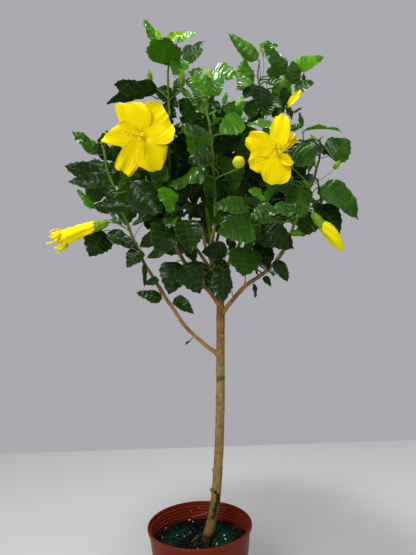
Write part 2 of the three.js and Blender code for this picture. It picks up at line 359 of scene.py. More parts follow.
class Paint:
    """A node material: one Principled shader, and the patterns that feed it."""

    def __init__(self, name, **plain):
        self.material = bpy.data.materials.new(name)
        self.material.use_nodes = True
        self.tree = self.material.node_tree
        self.tree.nodes.clear()
        self.shader = self.tree.nodes.new("ShaderNodeBsdfPrincipled")
        output = self.tree.nodes.new("ShaderNodeOutputMaterial")
        self.tree.links.new(self.shader.outputs[0], output.inputs["Surface"])
        for socket, value in plain.items():
            self.shader.inputs[socket.replace("_", " ").title().replace("Ior", "IOR")].default_value = value

    def node(self, kind, settings, sockets, output=0):
        """Adds a node: its settings first, with a ramp's stops among them, then its sockets' values or
        links. Gives the wanted output as a Value."""
        made = self.tree.nodes.new(kind)
        for name, value in settings.items():
            if name != "stops":
                setattr(made, name, value)
                continue
            ramp = made.color_ramp.elements
            while len(ramp) < len(value):
                ramp.new(1)
            for element, (place, colour) in zip(ramp, value):
                element.position = place
                element.color = colour
        for name, value in sockets.items():
            if isinstance(value, Value):
                self.tree.links.new(value.socket, made.inputs[name])
            else:
                made.inputs[name].default_value = value
        return Value(self, made.outputs[output])

    def feed(self, **sockets):
        """Links Values to the shader's own sockets."""
        for name, value in sockets.items():
            self.tree.links.new(value.socket, self.shader.inputs[name.replace("_", " ").title()])
        return self.material

    def place(self, scale=(1, 1, 1)):
        """The piece's own coordinates, in metres, times a scale."""
        own = self.node("ShaderNodeTexCoord", {}, {}, "Object")
        return self.node("ShaderNodeVectorMath", {"operation": "MULTIPLY"}, {0: own, 1: scale})

    def noise(self, size, scale=(1, 1, 1), detail=3):
        """Noise of 0 to 1 whose patches are about size metres across, stretched where scale is small."""
        sockets = {"Vector": self.place(scale), "Scale": 0.5 / size, "Detail": detail, "Roughness": 0.55}
        return self.node("ShaderNodeTexNoise", {}, sockets)

    def cells(self, size, feature="F1"):
        """The distance to the nearest of scattered points that are about size metres apart."""
        sockets = {"Vector": self.place(), "Scale": 1 / size}
        return self.node("ShaderNodeTexVoronoi", {"feature": feature}, sockets)

    def field(self, name):
        """A number that the mesh holds for each point."""
        return self.node("ShaderNodeAttribute", {"attribute_name": name}, {}, "Fac")

    def across(self):
        """The two numbers of the piece's own map."""
        own = self.node("ShaderNodeUVMap", {"uv_map": "map"}, {})
        parts = self.tree.nodes.new("ShaderNodeSeparateXYZ")
        self.tree.links.new(own.socket, parts.inputs[0])
        return Value(self, parts.outputs[0]), Value(self, parts.outputs[1])

    def mix(self, share, first, second):
        """The first colour where share is 0 and the second where it is 1."""
        return self.node("ShaderNodeMix", {"data_type": "RGBA"}, {0: share, 6: first, 7: second}, 2)

    def bump(self, height, depth, strength):
        """The normal of a relief whose height of 1 stands depth metres proud."""
        return self.node("ShaderNodeBump", {}, {"Height": height, "Distance": depth, "Strength": strength})


def rgba(colour, light=1.0):
    """A colour of three or four numbers as four, made lighter or darker."""
    return (*(min(1, part * light) for part in colour[:3]), 1)


def mottled(name, colours, size, rough, depth, strength=0.6, gloss=0.2, vary=0.1, low=0.3, **pattern):
    """A matt skin that noise of the given size mottles between two colours, rougher and higher where
    it wears the second."""
    paint = Paint(name, specular_ior_level=gloss)
    grain = paint.noise(size, **pattern)
    skin = paint.mix(grain.step(low, 0.7), rgba(colours[0]), rgba(colours[1]))
    relief = paint.bump(grain, depth, strength)
    return paint.feed(base_color=skin, roughness=rough + grain * vary, normal=relief)


# ---- Settings that a user would change ----

def length_setting(name, description, default):
    """A length in metres."""
    return bpy.props.FloatProperty(name=name, description=description, default=default, min=0, unit="LENGTH",
                                   subtype="DISTANCE", precision=4)


def colour_setting(name, description, default):
    """A colour."""
    return bpy.props.FloatVectorProperty(name=name, description=description, default=default, size=3,
                                         min=0, max=1, subtype="COLOR")


def count_setting(name, description, default):
    """A whole number."""
    return bpy.props.IntProperty(name=name, description=description, default=default, min=1)


class PotSettings(bpy.types.PropertyGroup):
    wall: length_setting("Wall", "Thickness of the pot's wall", 1.8 * MM)
    step: length_setting("Step", "Depth of the stiffening ribs inside the mouth", 1.5 * MM)
    colour: colour_setting("Colour", "Plastic of the pot", (0.155, 0.014, 0.002))


class SoilSettings(bpy.types.PropertyGroup):
    crumbs: count_setting("Crumbs", "Loose crumbs of bark and peat on the soil", 2300)
    grits: count_setting("Grits", "White grains of perlite", 34)
    tufts: count_setting("Tufts", "Small tufts of moss", 5200)
    colour: colour_setting("Colour", "Damp potting mix", (0.0022, 0.0026, 0.002))
    moss: colour_setting("Moss", "Blue-green moss", (0.001, 0.042, 0.024))


class LimbSettings(bpy.types.PropertyGroup):
    relief: length_setting("Relief", "Height of the bark's ridges", 0.2 * MM)
    bark: colour_setting("Bark", "Golden bark of the stem", (0.27, 0.18, 0.056))
    high: colour_setting("High bark", "Redder bark below the fork", (0.244, 0.107, 0.027))
    wood: colour_setting("Bough", "Bark of the boughs", (0.36, 0.19, 0.065))
    green: colour_setting("Shoot", "Green skin of the shoots", (0.068, 0.138, 0.01))


class LeafSettings(bpy.types.PropertyGroup):
    length: length_setting("Length", "Usual length of a leaf's blade", 68 * MM)
    spacing: length_setting("Spacing", "Distance between the leaves over the head", 40 * MM)
    thick: length_setting("Thickness", "Thickness of a blade along its middle", 0.55 * MM)
    # The tones from dark to light are partly the leaves' age and partly painted shade deep in the head and
    # painted light near the top and the tips.
    dark: colour_setting("Old leaf", "Leaves deep inside the head", (0.008, 0.028, 0.002))
    middle: colour_setting("Grown leaf", "Most leaves", (0.016, 0.064, 0.002))
    light: colour_setting("Fresh leaf", "Leaves near the top and the tips", (0.04, 0.155, 0.001))
    young: colour_setting("Young leaf", "Leaves at the ends of shoots", (0.09, 0.32, 0.001))
    newest: colour_setting("Newest leaf", "The last leaves to unfold", (0.24, 0.46, 0.004))


class FlowerSettings(bpy.types.PropertyGroup):
    petal: colour_setting("Petal", "Clear yellow of the petals", (0.94, 0.745, 0.0005))
    fold: colour_setting("Fold", "Deeper yellow in folds and at the throat", (0.72, 0.4, 0.003))
    calyx: colour_setting("Calyx", "Cup and stalk of a flower", (0.2, 0.37, 0.008))
    thick: length_setting("Thickness", "Thickness of a petal", 0.4 * MM)


class StageSettings(bpy.types.PropertyGroup):
    focal: length_setting("Focal length", "Of the camera, on a sensor 36 mm wide", 29.19 * MM)
    floor: colour_setting("Floor", "Plain pale floor", (0.6, 0.6, 0.59))
    sky: colour_setting("Backdrop", "Even light all round", (0.405, 0.4, 0.43))


GROUPS = {
    "pot": PotSettings,
    "soil": SoilSettings,
    "limbs": LimbSettings,
    "leaves": LeafSettings,
    "flowers": FlowerSettings,
    "stage": StageSettings,
}


def settings(group):
    """The scene's settings of one group."""
    return getattr(bpy.context.scene, "hibiscus_" + group)


# ---- Limbs ----

def level_sections(node, cuts, foot, tip):
    """The centre line and radius of a limb, from level cuts through its frame node: each cut's centre
    is the mean of its outline by length, and its radius that of a circle as large as the cut seen
    along the limb. The first and last cuts stay foot and tip away from the node's ends."""
    start = corner_points(node)
    end = np.roll(start, -1, axis=1)
    rise = end[..., 2] - start[..., 2]
    levels = np.linspace(start[..., 2].min() + foot, start[..., 2].max() - tip, cuts)
    share = (levels[:, None, None] - start[..., 2]) / np.where(rise == 0, 1, rise)
    crossed = (rise != 0) & (share >= 0) & (share < 1)
    places = start + share[..., None] * (end - start)
    two = np.argsort(~crossed, axis=2, kind="stable")[:, :, :2]
    ends = np.take_along_axis(places, two[..., None], axis=2)
    chord = np.linalg.norm(ends[:, :, 1] - ends[:, :, 0], axis=2) * (crossed.sum(axis=2) == 2)
    middle = (ends.mean(axis=2) * chord[..., None]).sum(axis=1) / chord.sum(axis=1)[:, None]
    arms = ends - middle[:, None, None]
    wedges = np.abs(arms[:, :, 0, 0] * arms[:, :, 1, 1] - arms[:, :, 0, 1] * arms[:, :, 1, 0])
    area = (wedges * (chord > 0)).sum(axis=1) / 2
    slope = unit(np.gradient(middle, axis=0))[:, 2]
    return middle, np.sqrt(area * np.abs(slope) / math.pi)


@functools.lru_cache
def limbs():
    """Each limb's smooth centre line and radius, carried back to the limb that bears it."""
    lines = {}
    for name, carrier in CARRIERS.items():
        low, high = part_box(name)
        tall = high[2] - low[2]
        foot = 1.5 * MM if carrier is None else min(11 * MM, tall / 5)
        path, radius = level_sections(name, max(6, round(tall / (12 * MM))), foot, 2 * MM)
        if carrier is None:
            path[0] += (path[0] - path[1]) / np.abs(path[0] - path[1])[2] * foot
        else:
            bearer = lines[carrier][0]
            back = unit(path[0] - path[2])
            reach = np.maximum((bearer - path[0]) @ back, 0)
            aside = np.linalg.norm(bearer - path[0] - reach[:, None] * back, axis=1)
            path = np.vstack([bearer[aside.argmin()], path])
            radius = np.concatenate([radius[:1], radius])
        count = max(24, round(tall / (4 * MM)))
        fine = resampled(path, count)
        radius = np.pad(stretched(radius, count), 6, "edge")
        lines[name] = (eased(fine, 12), np.convolve(radius, np.full(13, 1 / 13), "valid"))
    return lines


@functools.lru_cache
def head_low():
    """The height of the head's lowest leaves."""
    return min(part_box(name)[0][2] for name in MASS_NAMES)


def head_share(points):
    """How high points lie in the head, from 0 at its lowest leaves to 1 at its top."""
    return (points[..., 2] - head_low()) / (CAD_BOX[1][2] - head_low())


def bark_relief(path, radius, turn, seed, relief, swelling, scars):
    """How far the bark stands out from a limb, for each point of its grid, whose turns round the limb
    are measured from the right side towards the front: long ridges, finer grain, a swelling with a leaf
    scar at each old node, and the given scars, each a soft bump at a height and a turn round the stem,
    with a half-height and a half-width of its own."""
    along = lengths_along(path)[:, None]
    girth = np.stack(np.broadcast_arrays(np.cos(turn) * radius[:, None], np.sin(turn) * radius[:, None],
                                         along * 0.3), axis=-1)
    out = relief * ripple(girth, 5 * MM, seed)
    out = out + 0.5 * relief * ripple(girth * [1, 1, 2.2], 3.4 * MM, seed + 1)
    random = np.random.default_rng(seed)
    node = 14 * MM
    side = random.uniform(0, 2 * math.pi)
    while node < along[-1, 0]:
        bulge = swelling * (0.25 + np.exp(-(turned_away(turn, side) / 0.55) ** 2))
        out = out + bulge * np.exp(-((along - node) / (2.6 * MM)) ** 2)
        out = out - 0.3 * swelling * np.exp(-((along - node - 3.2 * MM) / (0.8 * MM)) ** 2)
        node += random.uniform(17, 34) * MM
        side += GOLDEN_TURN
    for height, angle, rise, tall, wide in scars:
        level = (path[:, 2:3] - height) / (tall * MM)
        out = out + rise * MM * np.exp(-level ** 2 - (turned_away(turn, angle) / wide) ** 2)
    return out


# Old knots and scars of the stem: height above the floor, turn round the stem from its right side
# towards the front, how far each stands out and its half-height (both in mm), and its half-width.
STEM_SCARS = (
    (0.244, 3.0, 4.6, 3.6, 0.38),
    (0.247, 2.55, -1.6, 1.8, 0.22),
    (0.251, 2.4, 1.8, 2.0, 0.35),
    (0.280, 3.2, 2.9, 3.0, 0.38),
    (0.226, 0.15, 1.1, 1.6, 0.3),
    (0.301, 0.6, 0.9, 1.4, 0.3),
    (0.322, 1.6, 0.7, 1.2, 1.3),
    (0.350, 3.0, 0.8, 2.0, 0.4),
    (0.392, 2.9, 0.7, 2.0, 0.4),
    (0.366, 1.5, -0.8, 1.6, 0.16),
    (0.415, 3.0, 0.8, 3, 0.5),
    (0.472, 3.1, 0.9, 5, 0.5),
    (0.505, 2.6, 1.2, 2.4, 0.4),
    (0.5385, 1.0, 1.0, 2.2, 0.5),
    (0.545, 0.85, -0.9, 1.5, 0.2),
    (0.575, 2.8, 0.8, 7, 0.8),
)

# The long scar over the stem's foot: its height above the floor and its turn round the stem.
LONG_SCAR = (
    (0.198, 1.55), (0.206, 1.4), (0.214, 1.3), (0.224, 1.2), (0.232, 1.18), (0.239, 1.3), (0.244, 1.9),
)


def bark_paint(name, base, green, high):
    """Bark whose grooves are darker than its ridges, with streaks along the limb, a redder tone where
    the mesh says that it is high on the plant, and green skin where it is young."""
    paint = Paint(name, specular_ior_level=0.12)
    height = paint.field("height")
    streak = paint.noise(1.8 * MM, (1, 1, 0.35), 4)
    patch = paint.noise(11 * MM, (1, 1, 0.5), 3)
    base = paint.mix(paint.field("red"), rgba(base), rgba(high))
    dull, fair = (paint.node("ShaderNodeVectorMath", {"operation": "SCALE"}, {0: base, "Scale": light})
                  for light in (0.62, 1.3))
    woody = paint.mix((height * 0.35 + streak * 0.6 + patch * 0.55).step(0.45, 1.05), dull, fair)
    # The stem's stains: its own scars, rings and marks, with painted shade at its foot by the soil and in its
    # holes.
    woody = paint.mix(paint.field("stain"), woody, rgba((0.032, 0.019, 0.008)))
    skin = paint.mix(streak.step(0.3, 0.7), rgba(green, 0.75), rgba(green, 1.25))
    colour = paint.mix(paint.field("youth"), woody, skin)
    grain = paint.noise(0.9 * MM, (1, 1, 0.35), 3)
    rough = 0.72 - paint.field("youth") * 0.3 + grain * 0.08
    return paint.feed(base_color=colour, roughness=rough, normal=paint.bump(grain + streak, 0.3 * MM, 0.6))


# The two rings of darker bark on the stem: height, half-height (in mm), how sharply the ring ends, how
# far its edges wander, and darkness.
STEM_RINGS = (
    (0.4565, 5.4, 4, 0.5, 0.62),
    (0.581, 11, 2, 1.0, 0.5),
)
# Two holes and a knot, darkened partly in their own darker wood and partly with painted shade in their
# hollows: height, turn round the stem, half-height (in mm), half-width and darkness.
STEM_MARKS = (
    (0.366, 1.5, 2.4, 0.16, 1.0),
    (0.545, 0.85, 1.9, 0.22, 1.0),
    (0.247, 2.55, 2.2, 0.25, 0.7),
)


def stem_stain_and_shade(points):
    """The dark marks of the stem: the long scar over its foot, the rings and small marks of the tables,
    painted shade at its foot by the soil, and a darkening towards the bottom that fades out above it."""
    path, radius = limbs()["trunk"]
    nearest = np.abs(points[..., None, 2] - path[:, 2]).argmin(axis=-1)
    arm = (points - path[nearest]) / radius[nearest][..., None]
    turn = np.arctan2(-arm[..., 1], arm[..., 0])
    z = points[..., 2]
    wander = 2.2 * MM * ripple(points, 9 * MM, 5)
    heights, sides = np.array(LONG_SCAR).T
    ragged = 0.42 + 0.18 * ripple(points, 8 * MM, 8)
    scar = smooth(ragged - np.abs(turn - np.interp(z, heights, sides)), -0.06, 0.1)
    dark = 0.9 * scar * smooth(z + wander, 0.192, 0.198) * (1 - smooth(z, 0.244, 0.249))
    for level, tall, sharp, stray, depth in STEM_RINGS:
        dark = dark + depth * np.exp(-((z + wander * stray - level) / (tall * MM)) ** sharp)
    for level, side, tall, wide, depth in STEM_MARKS:
        dark = dark + depth * np.exp(-((z - level) / (tall * MM)) ** 2 - ((turn - side) / wide) ** 2)
    # Painted shade at the stem's foot by the soil.
    foot = 0.9 * (1 - smooth(z + 0.6 * wander, 0.157, 0.177))
    # Darker towards the bottom, fading out above.
    darker_below = 0.36 * (1 - smooth(z + wander, 0.19, 0.37))
    return np.clip(dark + foot + darker_below, 0, 1)


def add_limb(model, path, radius, sides, seed, relief, swelling, scars=(), collar=0.0, stem=False):
    """Adds one limb with its bark. Its foot swells into a collar, its skin turns green with height, and
    its tip closes to a small rounded end."""
    along = lengths_along(path)
    wide = radius * (1 + collar * np.exp(-along / (9 * MM)))
    wide = wide * np.sqrt(np.clip((along[-1] - along) / (2 * radius[-1]), 0.02, 1))
    high = head_share(path) + 0.04 * ripple(path, 60 * MM, seed)
    youth = smooth(high, GREEN_HEIGHT - 0.08, GREEN_HEIGHT + 0.14)
    youth = youth * (1 - smooth(radius, 5.2 * MM, 7.2 * MM))
    ways = rings_along(path[None], sides)[0]
    turn = np.arctan2(-ways[..., 1], ways[..., 0])
    out = bark_relief(path, wide, turn, seed, relief, swelling, scars) * (1 - 0.6 * youth[:, None])
    out = out * smooth(wide, 0.2 * MM, 2 * MM)[:, None]
    grid = tubes(path[None], (wide[:, None] + out)[None], sides)
    height = np.clip(0.5 + out / (4 * relief), 0, 1)
    stain = stem_stain_and_shade(grid[0]) if stem else np.zeros_like(out)
    red = smooth(path[:, 2] + 8 * MM * ripple(path, 40 * MM, seed), RED_FROM, RED_FULL)
    model.shell(grid, height=height, youth=np.repeat(youth, sides), stain=stain, red=np.repeat(red, sides))


def build_limbs():
    """The stem with its leader, and each bough, as meshes with the bark's relief."""
    chosen = settings("limbs")
    lines = limbs()
    stem_bark = bark_paint("stem_bark", chosen.bark, chosen.green, chosen.high)
    bough_bark = bark_paint("bough_bark", chosen.wood, chosen.green, rgba(chosen.wood, 0.8))
    trunk, trunk_radius = lines["trunk"]
    leader, leader_radius = lines["leader"]
    past = leader[:, 2] > trunk[-1, 2] + 6 * MM
    path = np.vstack([trunk, leader[past]])
    radius = np.concatenate([trunk_radius, leader_radius[past]])
    rows = 430
    radius = stretched(eased(radius[:, None], 30)[:, 0], rows)
    path = eased(resampled(eased(path, 8), rows), 30)
    stem = Model()
    add_limb(stem, path, radius, 48, 3, chosen.relief, 0.4 * MM, STEM_SCARS, stem=True)
    stem.piece("stem", [stem_bark], "stem", ["trunk", "leader"])
    for seed, name in enumerate(CARRIERS):
        if not name.startswith("bough"):
            continue
        path, radius = lines[name]
        rows = max(40, round(len(path) * 2.2))
        radius = stretched(radius, rows)
        path = eased(resampled(path, rows), 8)
        sway = np.stack([ripple(path, 55 * MM, seed + axis) for axis in range(3)], axis=1)
        path = path + 0.9 * MM * sway
        bough = Model()
        add_limb(bough, path, radius, 18, 11 + seed, chosen.relief * 0.7, 0.45 * MM, collar=0.75)
        bough.piece(name + "_bark", [bough_bark], "bough", [name])
    build_twigs(bough_bark)


# Short side twigs: the limb that bears each, how far along it, the way from there to its end and its
# radius (in mm).
SIDE_TWIGS = (
    ("bough_right", 0.21, (3, -3, 24), 1.4),
    ("bough_right", 0.12, (-3, -4, 16), 1.1),
    ("bough_centre", 0.14, (-24, -3, 12), 1.5),
    ("bough_low_left", 0.3, (12, -4, 10), 1.0),
)


def build_twigs(bark):
    """Short side twigs, the pale cut end of the cut-back bough, and a withered twig with its leaf."""
    lines = limbs()
    twigs = Model()
    share = np.linspace(0, 1, 12)
    for name, along, reach, radius in SIDE_TWIGS:
        path = lines[name][0]
        root = path[int(along * len(path))]
        reach = np.array(reach) * MM
        end = root + reach
        line = bowed([root], [root + reach * 0.3 - [0, 0, 2 * MM]], [end - [0, 0, 6 * MM]], [end], 12)
        radii = radius * MM * (1 + 0.6 * np.exp(-share / 0.12) - 0.25 * share)
        add_tubes(twigs, line, radii[None], 8, height=0.5, youth=0, stain=0, red=0)
    twigs.piece("side_twigs", [bark], "bough")

    path, radius = lines["bough_front"]
    way = unit(path[-1] - path[-4])
    end = Model()
    add_lathe(end, lathe_along(path[-1] - way * 1.5 * MM, path[-1] + way * 0.7 * MM, 0,
                               np.array([1.0, 1.03, 1.0]) * radius[-1], 18))
    wood = mottled("cut_wood", ((0.36, 0.27, 0.13), (0.55, 0.45, 0.25)), 1 * MM, 0.7, 0.2 * MM, 0.5)
    end.piece("cut_end", [wood], "bough")

    path = lines["bough_low_left"][0]
    root = path[int(0.13 * len(path))]
    tip = root + [-12 * MM, -2 * MM, -5 * MM]
    dead = Model()
    line = bowed([root], [root + [-4 * MM, 0, 4 * MM]], [tip + [4 * MM, 0, 5 * MM]], [tip], 12)
    dead.shell(tubes(line, 0.7 * MM, 6), map=np.array([0.5, 0.5]))
    shapes = blade_shapes(1, length=17 * MM, broad=0.5, fold=1.1, droop=1.2, twist=0.8, ruffle=0.08)
    blade = turned(shapes, np.array([[-0.7, 0, -0.5]]), np.array([[0.3, -0.8, 0.4]])) + tip
    add_blades(dead, blade, dark_side=0)
    dry = mottled("withered_leaf", ((0.004, 0.005, 0.004), (0.02, 0.014, 0.008)), 2 * MM, 0.7, 0.3 * MM)
    dead.piece("withered_twig", [dry], "leaves")


# ---- Blades: leaves, bracts and the lobes of a calyx ----

BLADE_ROWS = 13
BLADE_COLUMNS = np.array([-1, -0.52, 0, 0.52, 1, 0])  # over the top, then the midrib underneath
BLADE_TOP = 4  # the first faces across belong to the upper side
VEINS = (BLADE_ROWS - 1) // 2  # side veins on each side, each ending in a tooth

# What a blade can be given, and what it has otherwise. Lengths are shares of the blade's length, and
# angles are radians.
BLADE_DEFAULTS = {
    "length": 68 * MM, "broad": 0.7, "tooth": 0.04, "quilt": 0.02, "fold": 0.2, "curl": 0.08,
    "droop": 0.5, "twist": 0.0, "ruffle": 0.02, "phase": 0.0, "thick": 0.55 * MM, "waist": 0.34,
}


def blade_shapes(count, **given):
    """Leaf blades as closed thin shells, an array (count, rows, 6, 3) with x across, y along and z up.
    A row of points follows a pair of side veins from the midrib forward to the margin m. The margin's
    half-width is m^a (1-m), widest at the waist a/(a+1), and every other row ends in a tooth. Rows
    between the veins stand up as the quilting of the blade. The halves are folded up along the midrib,
    rolled across, ruffled at the margin and twisted along it, and the whole blade is bent down on an
    arc of droop radians. The midrib stands out underneath by twice the thickness."""
    values = {**BLADE_DEFAULTS, **given}.values()
    length, broad, tooth, quilt, fold, curl, droop, twist, ruffle, phase, thick, waist = (
        np.broadcast_to(np.asarray(value, dtype=float), count)[:, None, None] for value in values)
    row = np.arange(BLADE_ROWS)[None, :, None]
    margin = row / (BLADE_ROWS - 1)
    across = BLADE_COLUMNS[None, None, :]
    edge = np.abs(across)
    on_vein = 1 - row % 2
    midrib = margin * (1 - 0.3 * (1 - margin))
    along = midrib + (margin - midrib) * edge
    power = waist / (1 - waist)
    full = waist ** power * (1 - waist)
    half = broad / 2 * (margin ** power * (1 - margin) / full + 0.02)
    toothed = smooth(margin, 0.1, 0.3) * (1 - smooth(margin, 0.95, 1.0))
    half = half * (1 + tooth * (on_vein * 2 - 1) * toothed)
    along = along + 0.8 * tooth * on_vein * toothed * edge ** 2
    x = across * half
    z = quilt * (1 - on_vein) * np.sin(math.pi * np.clip(edge * 0.96, 0, 1)) * toothed
    z = z - curl * edge ** 2 * half / np.maximum(broad / 2, 1e-6)
    z = z + ruffle * np.sin(2 * math.pi * 2.1 * margin + phase + 1.3 * np.sign(across)) * edge ** 2 \
        * smooth(margin, 0.05, 0.3)
    under = np.arange(BLADE_COLUMNS.size) > BLADE_TOP
    z = z - under * 2 * thick / length * (1.3 - margin)
    x, z = x * np.cos(fold), z + edge * half * np.sin(fold)
    roll = twist * along
    x, z = x * np.cos(roll) + z * np.sin(roll), z * np.cos(roll) - x * np.sin(roll)
    bend = np.where(np.abs(droop) < 1e-3, 1e-3, droop)
    angle = bend * along
    y = np.sin(angle) / bend + z * np.sin(angle)
    down = (1 - np.cos(angle)) / bend
    return np.stack(np.broadcast_arrays(x, y, z * np.cos(angle) - down), axis=-1) * length[..., None]


def turned(shapes, along, upper):
    """Blades turned so that y runs along, and z as near upper as it can while square to that."""
    along = unit(along)
    side = unit(np.cross(along, upper))
    basis = np.stack([side, along, np.cross(side, along)], axis=1)
    return np.einsum("krcv,kvw->krcw", shapes, basis)


def add_blades(model, grids, dark_side=1):
    """Adds placed blades: the upper side wears the first material and the underside the second."""
    count, rows, columns = grids.shape[:3]
    sides = np.where(np.arange(columns) < BLADE_TOP, 0, dark_side)
    paints = np.concatenate([np.tile(sides, count * (rows - 1)), np.full(2 * count, dark_side)])
    across = np.broadcast_to(BLADE_COLUMNS * 0.5 + 0.5, (count, rows, columns))
    along = np.broadcast_to(np.linspace(0, 1, rows)[None, :, None], (count, rows, columns))
    model.shell(grids, paints, map=np.stack([across, along], axis=-1))


def leaf_paint(name, colour, gloss, under=False):
    """A leaf's skin: mottled green with paler veins that lie in grooves above and stand out below, and
    a paler rim, a painted highlight where the margin catches the light."""
    paint = Paint(name, specular_ior_level=0.05 if under else gloss)
    across, along = paint.across()
    from_vein = abs((along * VEINS + 0.5).part() - 0.5)
    vein = 1 - from_vein.step(0.0, 0.13)
    rib = 1 - abs(across - 0.5).step(0.008, 0.045)
    lines = vein.maths("MAXIMUM", rib)
    mottle = paint.noise(9 * MM, detail=4)
    skin = paint.mix(mottle.step(0.25, 0.75), rgba(colour, 0.78), rgba(colour, 1.25))
    paler = rgba([0.55 * part + 0.45 * pale for part, pale in zip(rgba(colour, 1.5), (0.16, 0.24, 0.05))])
    skin = paint.mix(lines * (0.5 if under else 0.2), skin, paler)
    # Painted highlight: the rim is paler where the margin catches the light.
    skin = paint.mix(abs(across - 0.5).step(0.44, 0.49) * 0.35, skin, paler)
    net = paint.cells(5 * MM, "DISTANCE_TO_EDGE").step(0.0, 0.4)
    cushion = from_vein.step(0.0, 0.5)
    rough = (0.5 if under else 0.15) + mottle * 0.14
    relief = paint.bump(cushion * 1.5 + net * 0.4 - lines * (-1.0 if under else 0.6), 0.5 * MM, 0.6)
    return paint.feed(base_color=skin, roughness=rough, normal=relief)


# ---- The head: where leaves grow ----

class Mass:
    """A frame node's mass of foliage as a star: how far it reaches from its middle each way."""

    def __init__(self, name):
        self.name = name
        self.corners = corner_points(name)
        self.points = points = np.unique(np.round(self.corners.reshape(-1, 3), 6), axis=0)
        self.middle = (points.min(axis=0) + points.max(axis=0)) / 2
        self.middle = 0.5 * self.middle + 0.5 * np.median(points, axis=0)
        arms = points - self.middle
        self.reach = np.linalg.norm(arms, axis=1)
        self.ways = arms / self.reach[:, None]

    def holds(self, places):
        """Whether each place lies inside the mass."""
        arms = places - self.middle
        nearest = (arms @ self.ways.T).argmax(axis=-1)
        return np.linalg.norm(arms, axis=-1) < self.reach[nearest]

    def tips(self):
        """The drawn-out points of the mass: those that reach furthest for half a radian round, and
        stand well out from the ring beyond."""
        apart = self.ways @ self.ways.T
        furthest = self.reach >= np.where(apart > math.cos(0.5), self.reach, 0).max(axis=1) - 1e-9
        ring = (apart < math.cos(0.5)) & (apart > math.cos(0.95))
        around = (self.reach * ring).sum(axis=1) / np.maximum(ring.sum(axis=1), 1)
        return self.points[furthest & (self.reach > around + 13 * MM)]


@functools.lru_cache
def masses():
    """Every mass of the head."""
    return tuple(Mass(name) for name in MASS_NAMES)


def in_head(places, but=None):
    """Whether each place lies inside any mass, apart from one."""
    held = np.zeros(places.shape[:-1], dtype=bool)
    for mass in masses():
        if mass is not but:
            held |= mass.holds(places)
    return held


def scattered(random, mass, density):
    """Random places over the open surface of a mass, and the way out at each."""
    a, b, c = mass.corners.transpose(1, 0, 2)
    cross = np.cross(b - a, c - a)
    size = np.linalg.norm(cross, axis=1) / 2
    count = max(8, round(size.sum() * density))
    face = random.choice(len(size), count, p=size / size.sum())
    u, v = random.random((2, count, 1))
    u, v = np.where(u + v > 1, 1 - u, u), np.where(u + v > 1, 1 - v, v)
    places = a[face] + u * (b - a)[face] + v * (c - a)[face]
    out = unit(unit(cross[face]) + 0.5 * unit(places - mass.middle))
    open_air = ~in_head(places + 13 * MM * out, mass)
    return places[open_air], out[open_air]


def spaced(places, taken, gap):
    """Which places to keep so that no two are nearer than gap, nor nearer than it to any taken."""
    kept = list(taken)
    chosen = []
    for index, place in enumerate(places):
        if not kept or np.linalg.norm(np.array(kept) - place, axis=1).min() > gap:
            kept.append(place)
            chosen.append(index)
    return chosen


def grouped(places, count):
    """Splits places into count groups: seeds are taken each as far as it can be from those before,
    and every place joins its nearest seed."""
    seeds = [0]
    for _ in range(count - 1):
        apart = np.linalg.norm(places[:, None] - places[seeds], axis=2).min(axis=1)
        seeds.append(int(apart.argmax()))
    return np.linalg.norm(places[:, None] - places[seeds], axis=2).argmin(axis=1)


class Foliage:
    """The leaves to come, each a row of numbers, and the paths of the shoots that bear them."""

    def __init__(self):
        self.rows = []
        self.shoots = []

    def leaf(self, anchor, share, along, upper, root, way, tone, **shape):
        """One leaf: the place where the given share of its midrib lies, the way that it points, its
        upper side, and where and which way its stalk leaves the shoot."""
        self.rows.append({"anchor": anchor, "share": share, "along": along, "upper": upper, "root": root,
                          "way": way, "tone": tone, "marked": False, **shape})


TONES = ("dark", "middle", "light", "young", "newest")
GLOSS = (0.14, 0.18, 0.27, 0.27, 0.14)  # how strongly each tone's upper side shines


def tone_of(random, place, outer):
    """The tone of a spray: the higher and the further out it grows, the lighter its green, partly the
    fresher green of new growth and partly painted light on the lit top and outside of the head.
    """
    height = float(head_share(place))
    fresh = 0.1 + 2.7 * max(0, height - 0.12) * outer + random.normal(0, 0.38)
    return int(np.clip(round(fresh), 0, 3))


def leaf_shape(random, length, tone):
    """The random shape of one leaf. Young leaves are narrower and folded, and old ones hang."""
    young = tone >= 3
    return {
        "length": length,
        "broad": random.normal(0.74 if not young else 0.6, 0.08),
        "fold": abs(random.normal(0.4 if young else 0.2, 0.18)),
        "curl": abs(random.normal(0.05, 0.07)),
        "droop": random.normal(0.5, 0.35),
        "twist": random.normal(0, 0.3),
        "ruffle": random.uniform(0.02, 0.06),
        "phase": random.uniform(0, 6.28),
        "tooth": random.uniform(0.03, 0.06),
        "quilt": random.uniform(0.012, 0.03),
        "waist": random.uniform(0.26, 0.36),
    }


def shoot_to(goal, thrust):
    """A shoot's path to a goal from the limb nearest below it, leaving along the limb."""
    best = None
    for path, _ in limbs().values():
        inner = path[len(path) // 5:]
        cost = np.linalg.norm(inner - goal, axis=1) + 0.8 * np.maximum(inner[:, 2] - goal[2] + 10 * MM, 0)
        index = int(cost.argmin())
        if best is None or cost[index] < best[0]:
            ahead = unit(inner[min(index + 3, len(inner) - 1)] - inner[max(index - 3, 0)])
            best = (cost[index], inner[index], ahead)
    _, root, ahead = best
    far = np.linalg.norm(goal - root)
    leave = root + ahead * far * 0.4
    arrive = goal - thrust * far * 0.35
    return bowed([root], [leave], [arrive], [goal], 14)[0]


GLARE = (0.0, -0.94, 0.33)  # the way that an upper side looks when it catches the lamp above
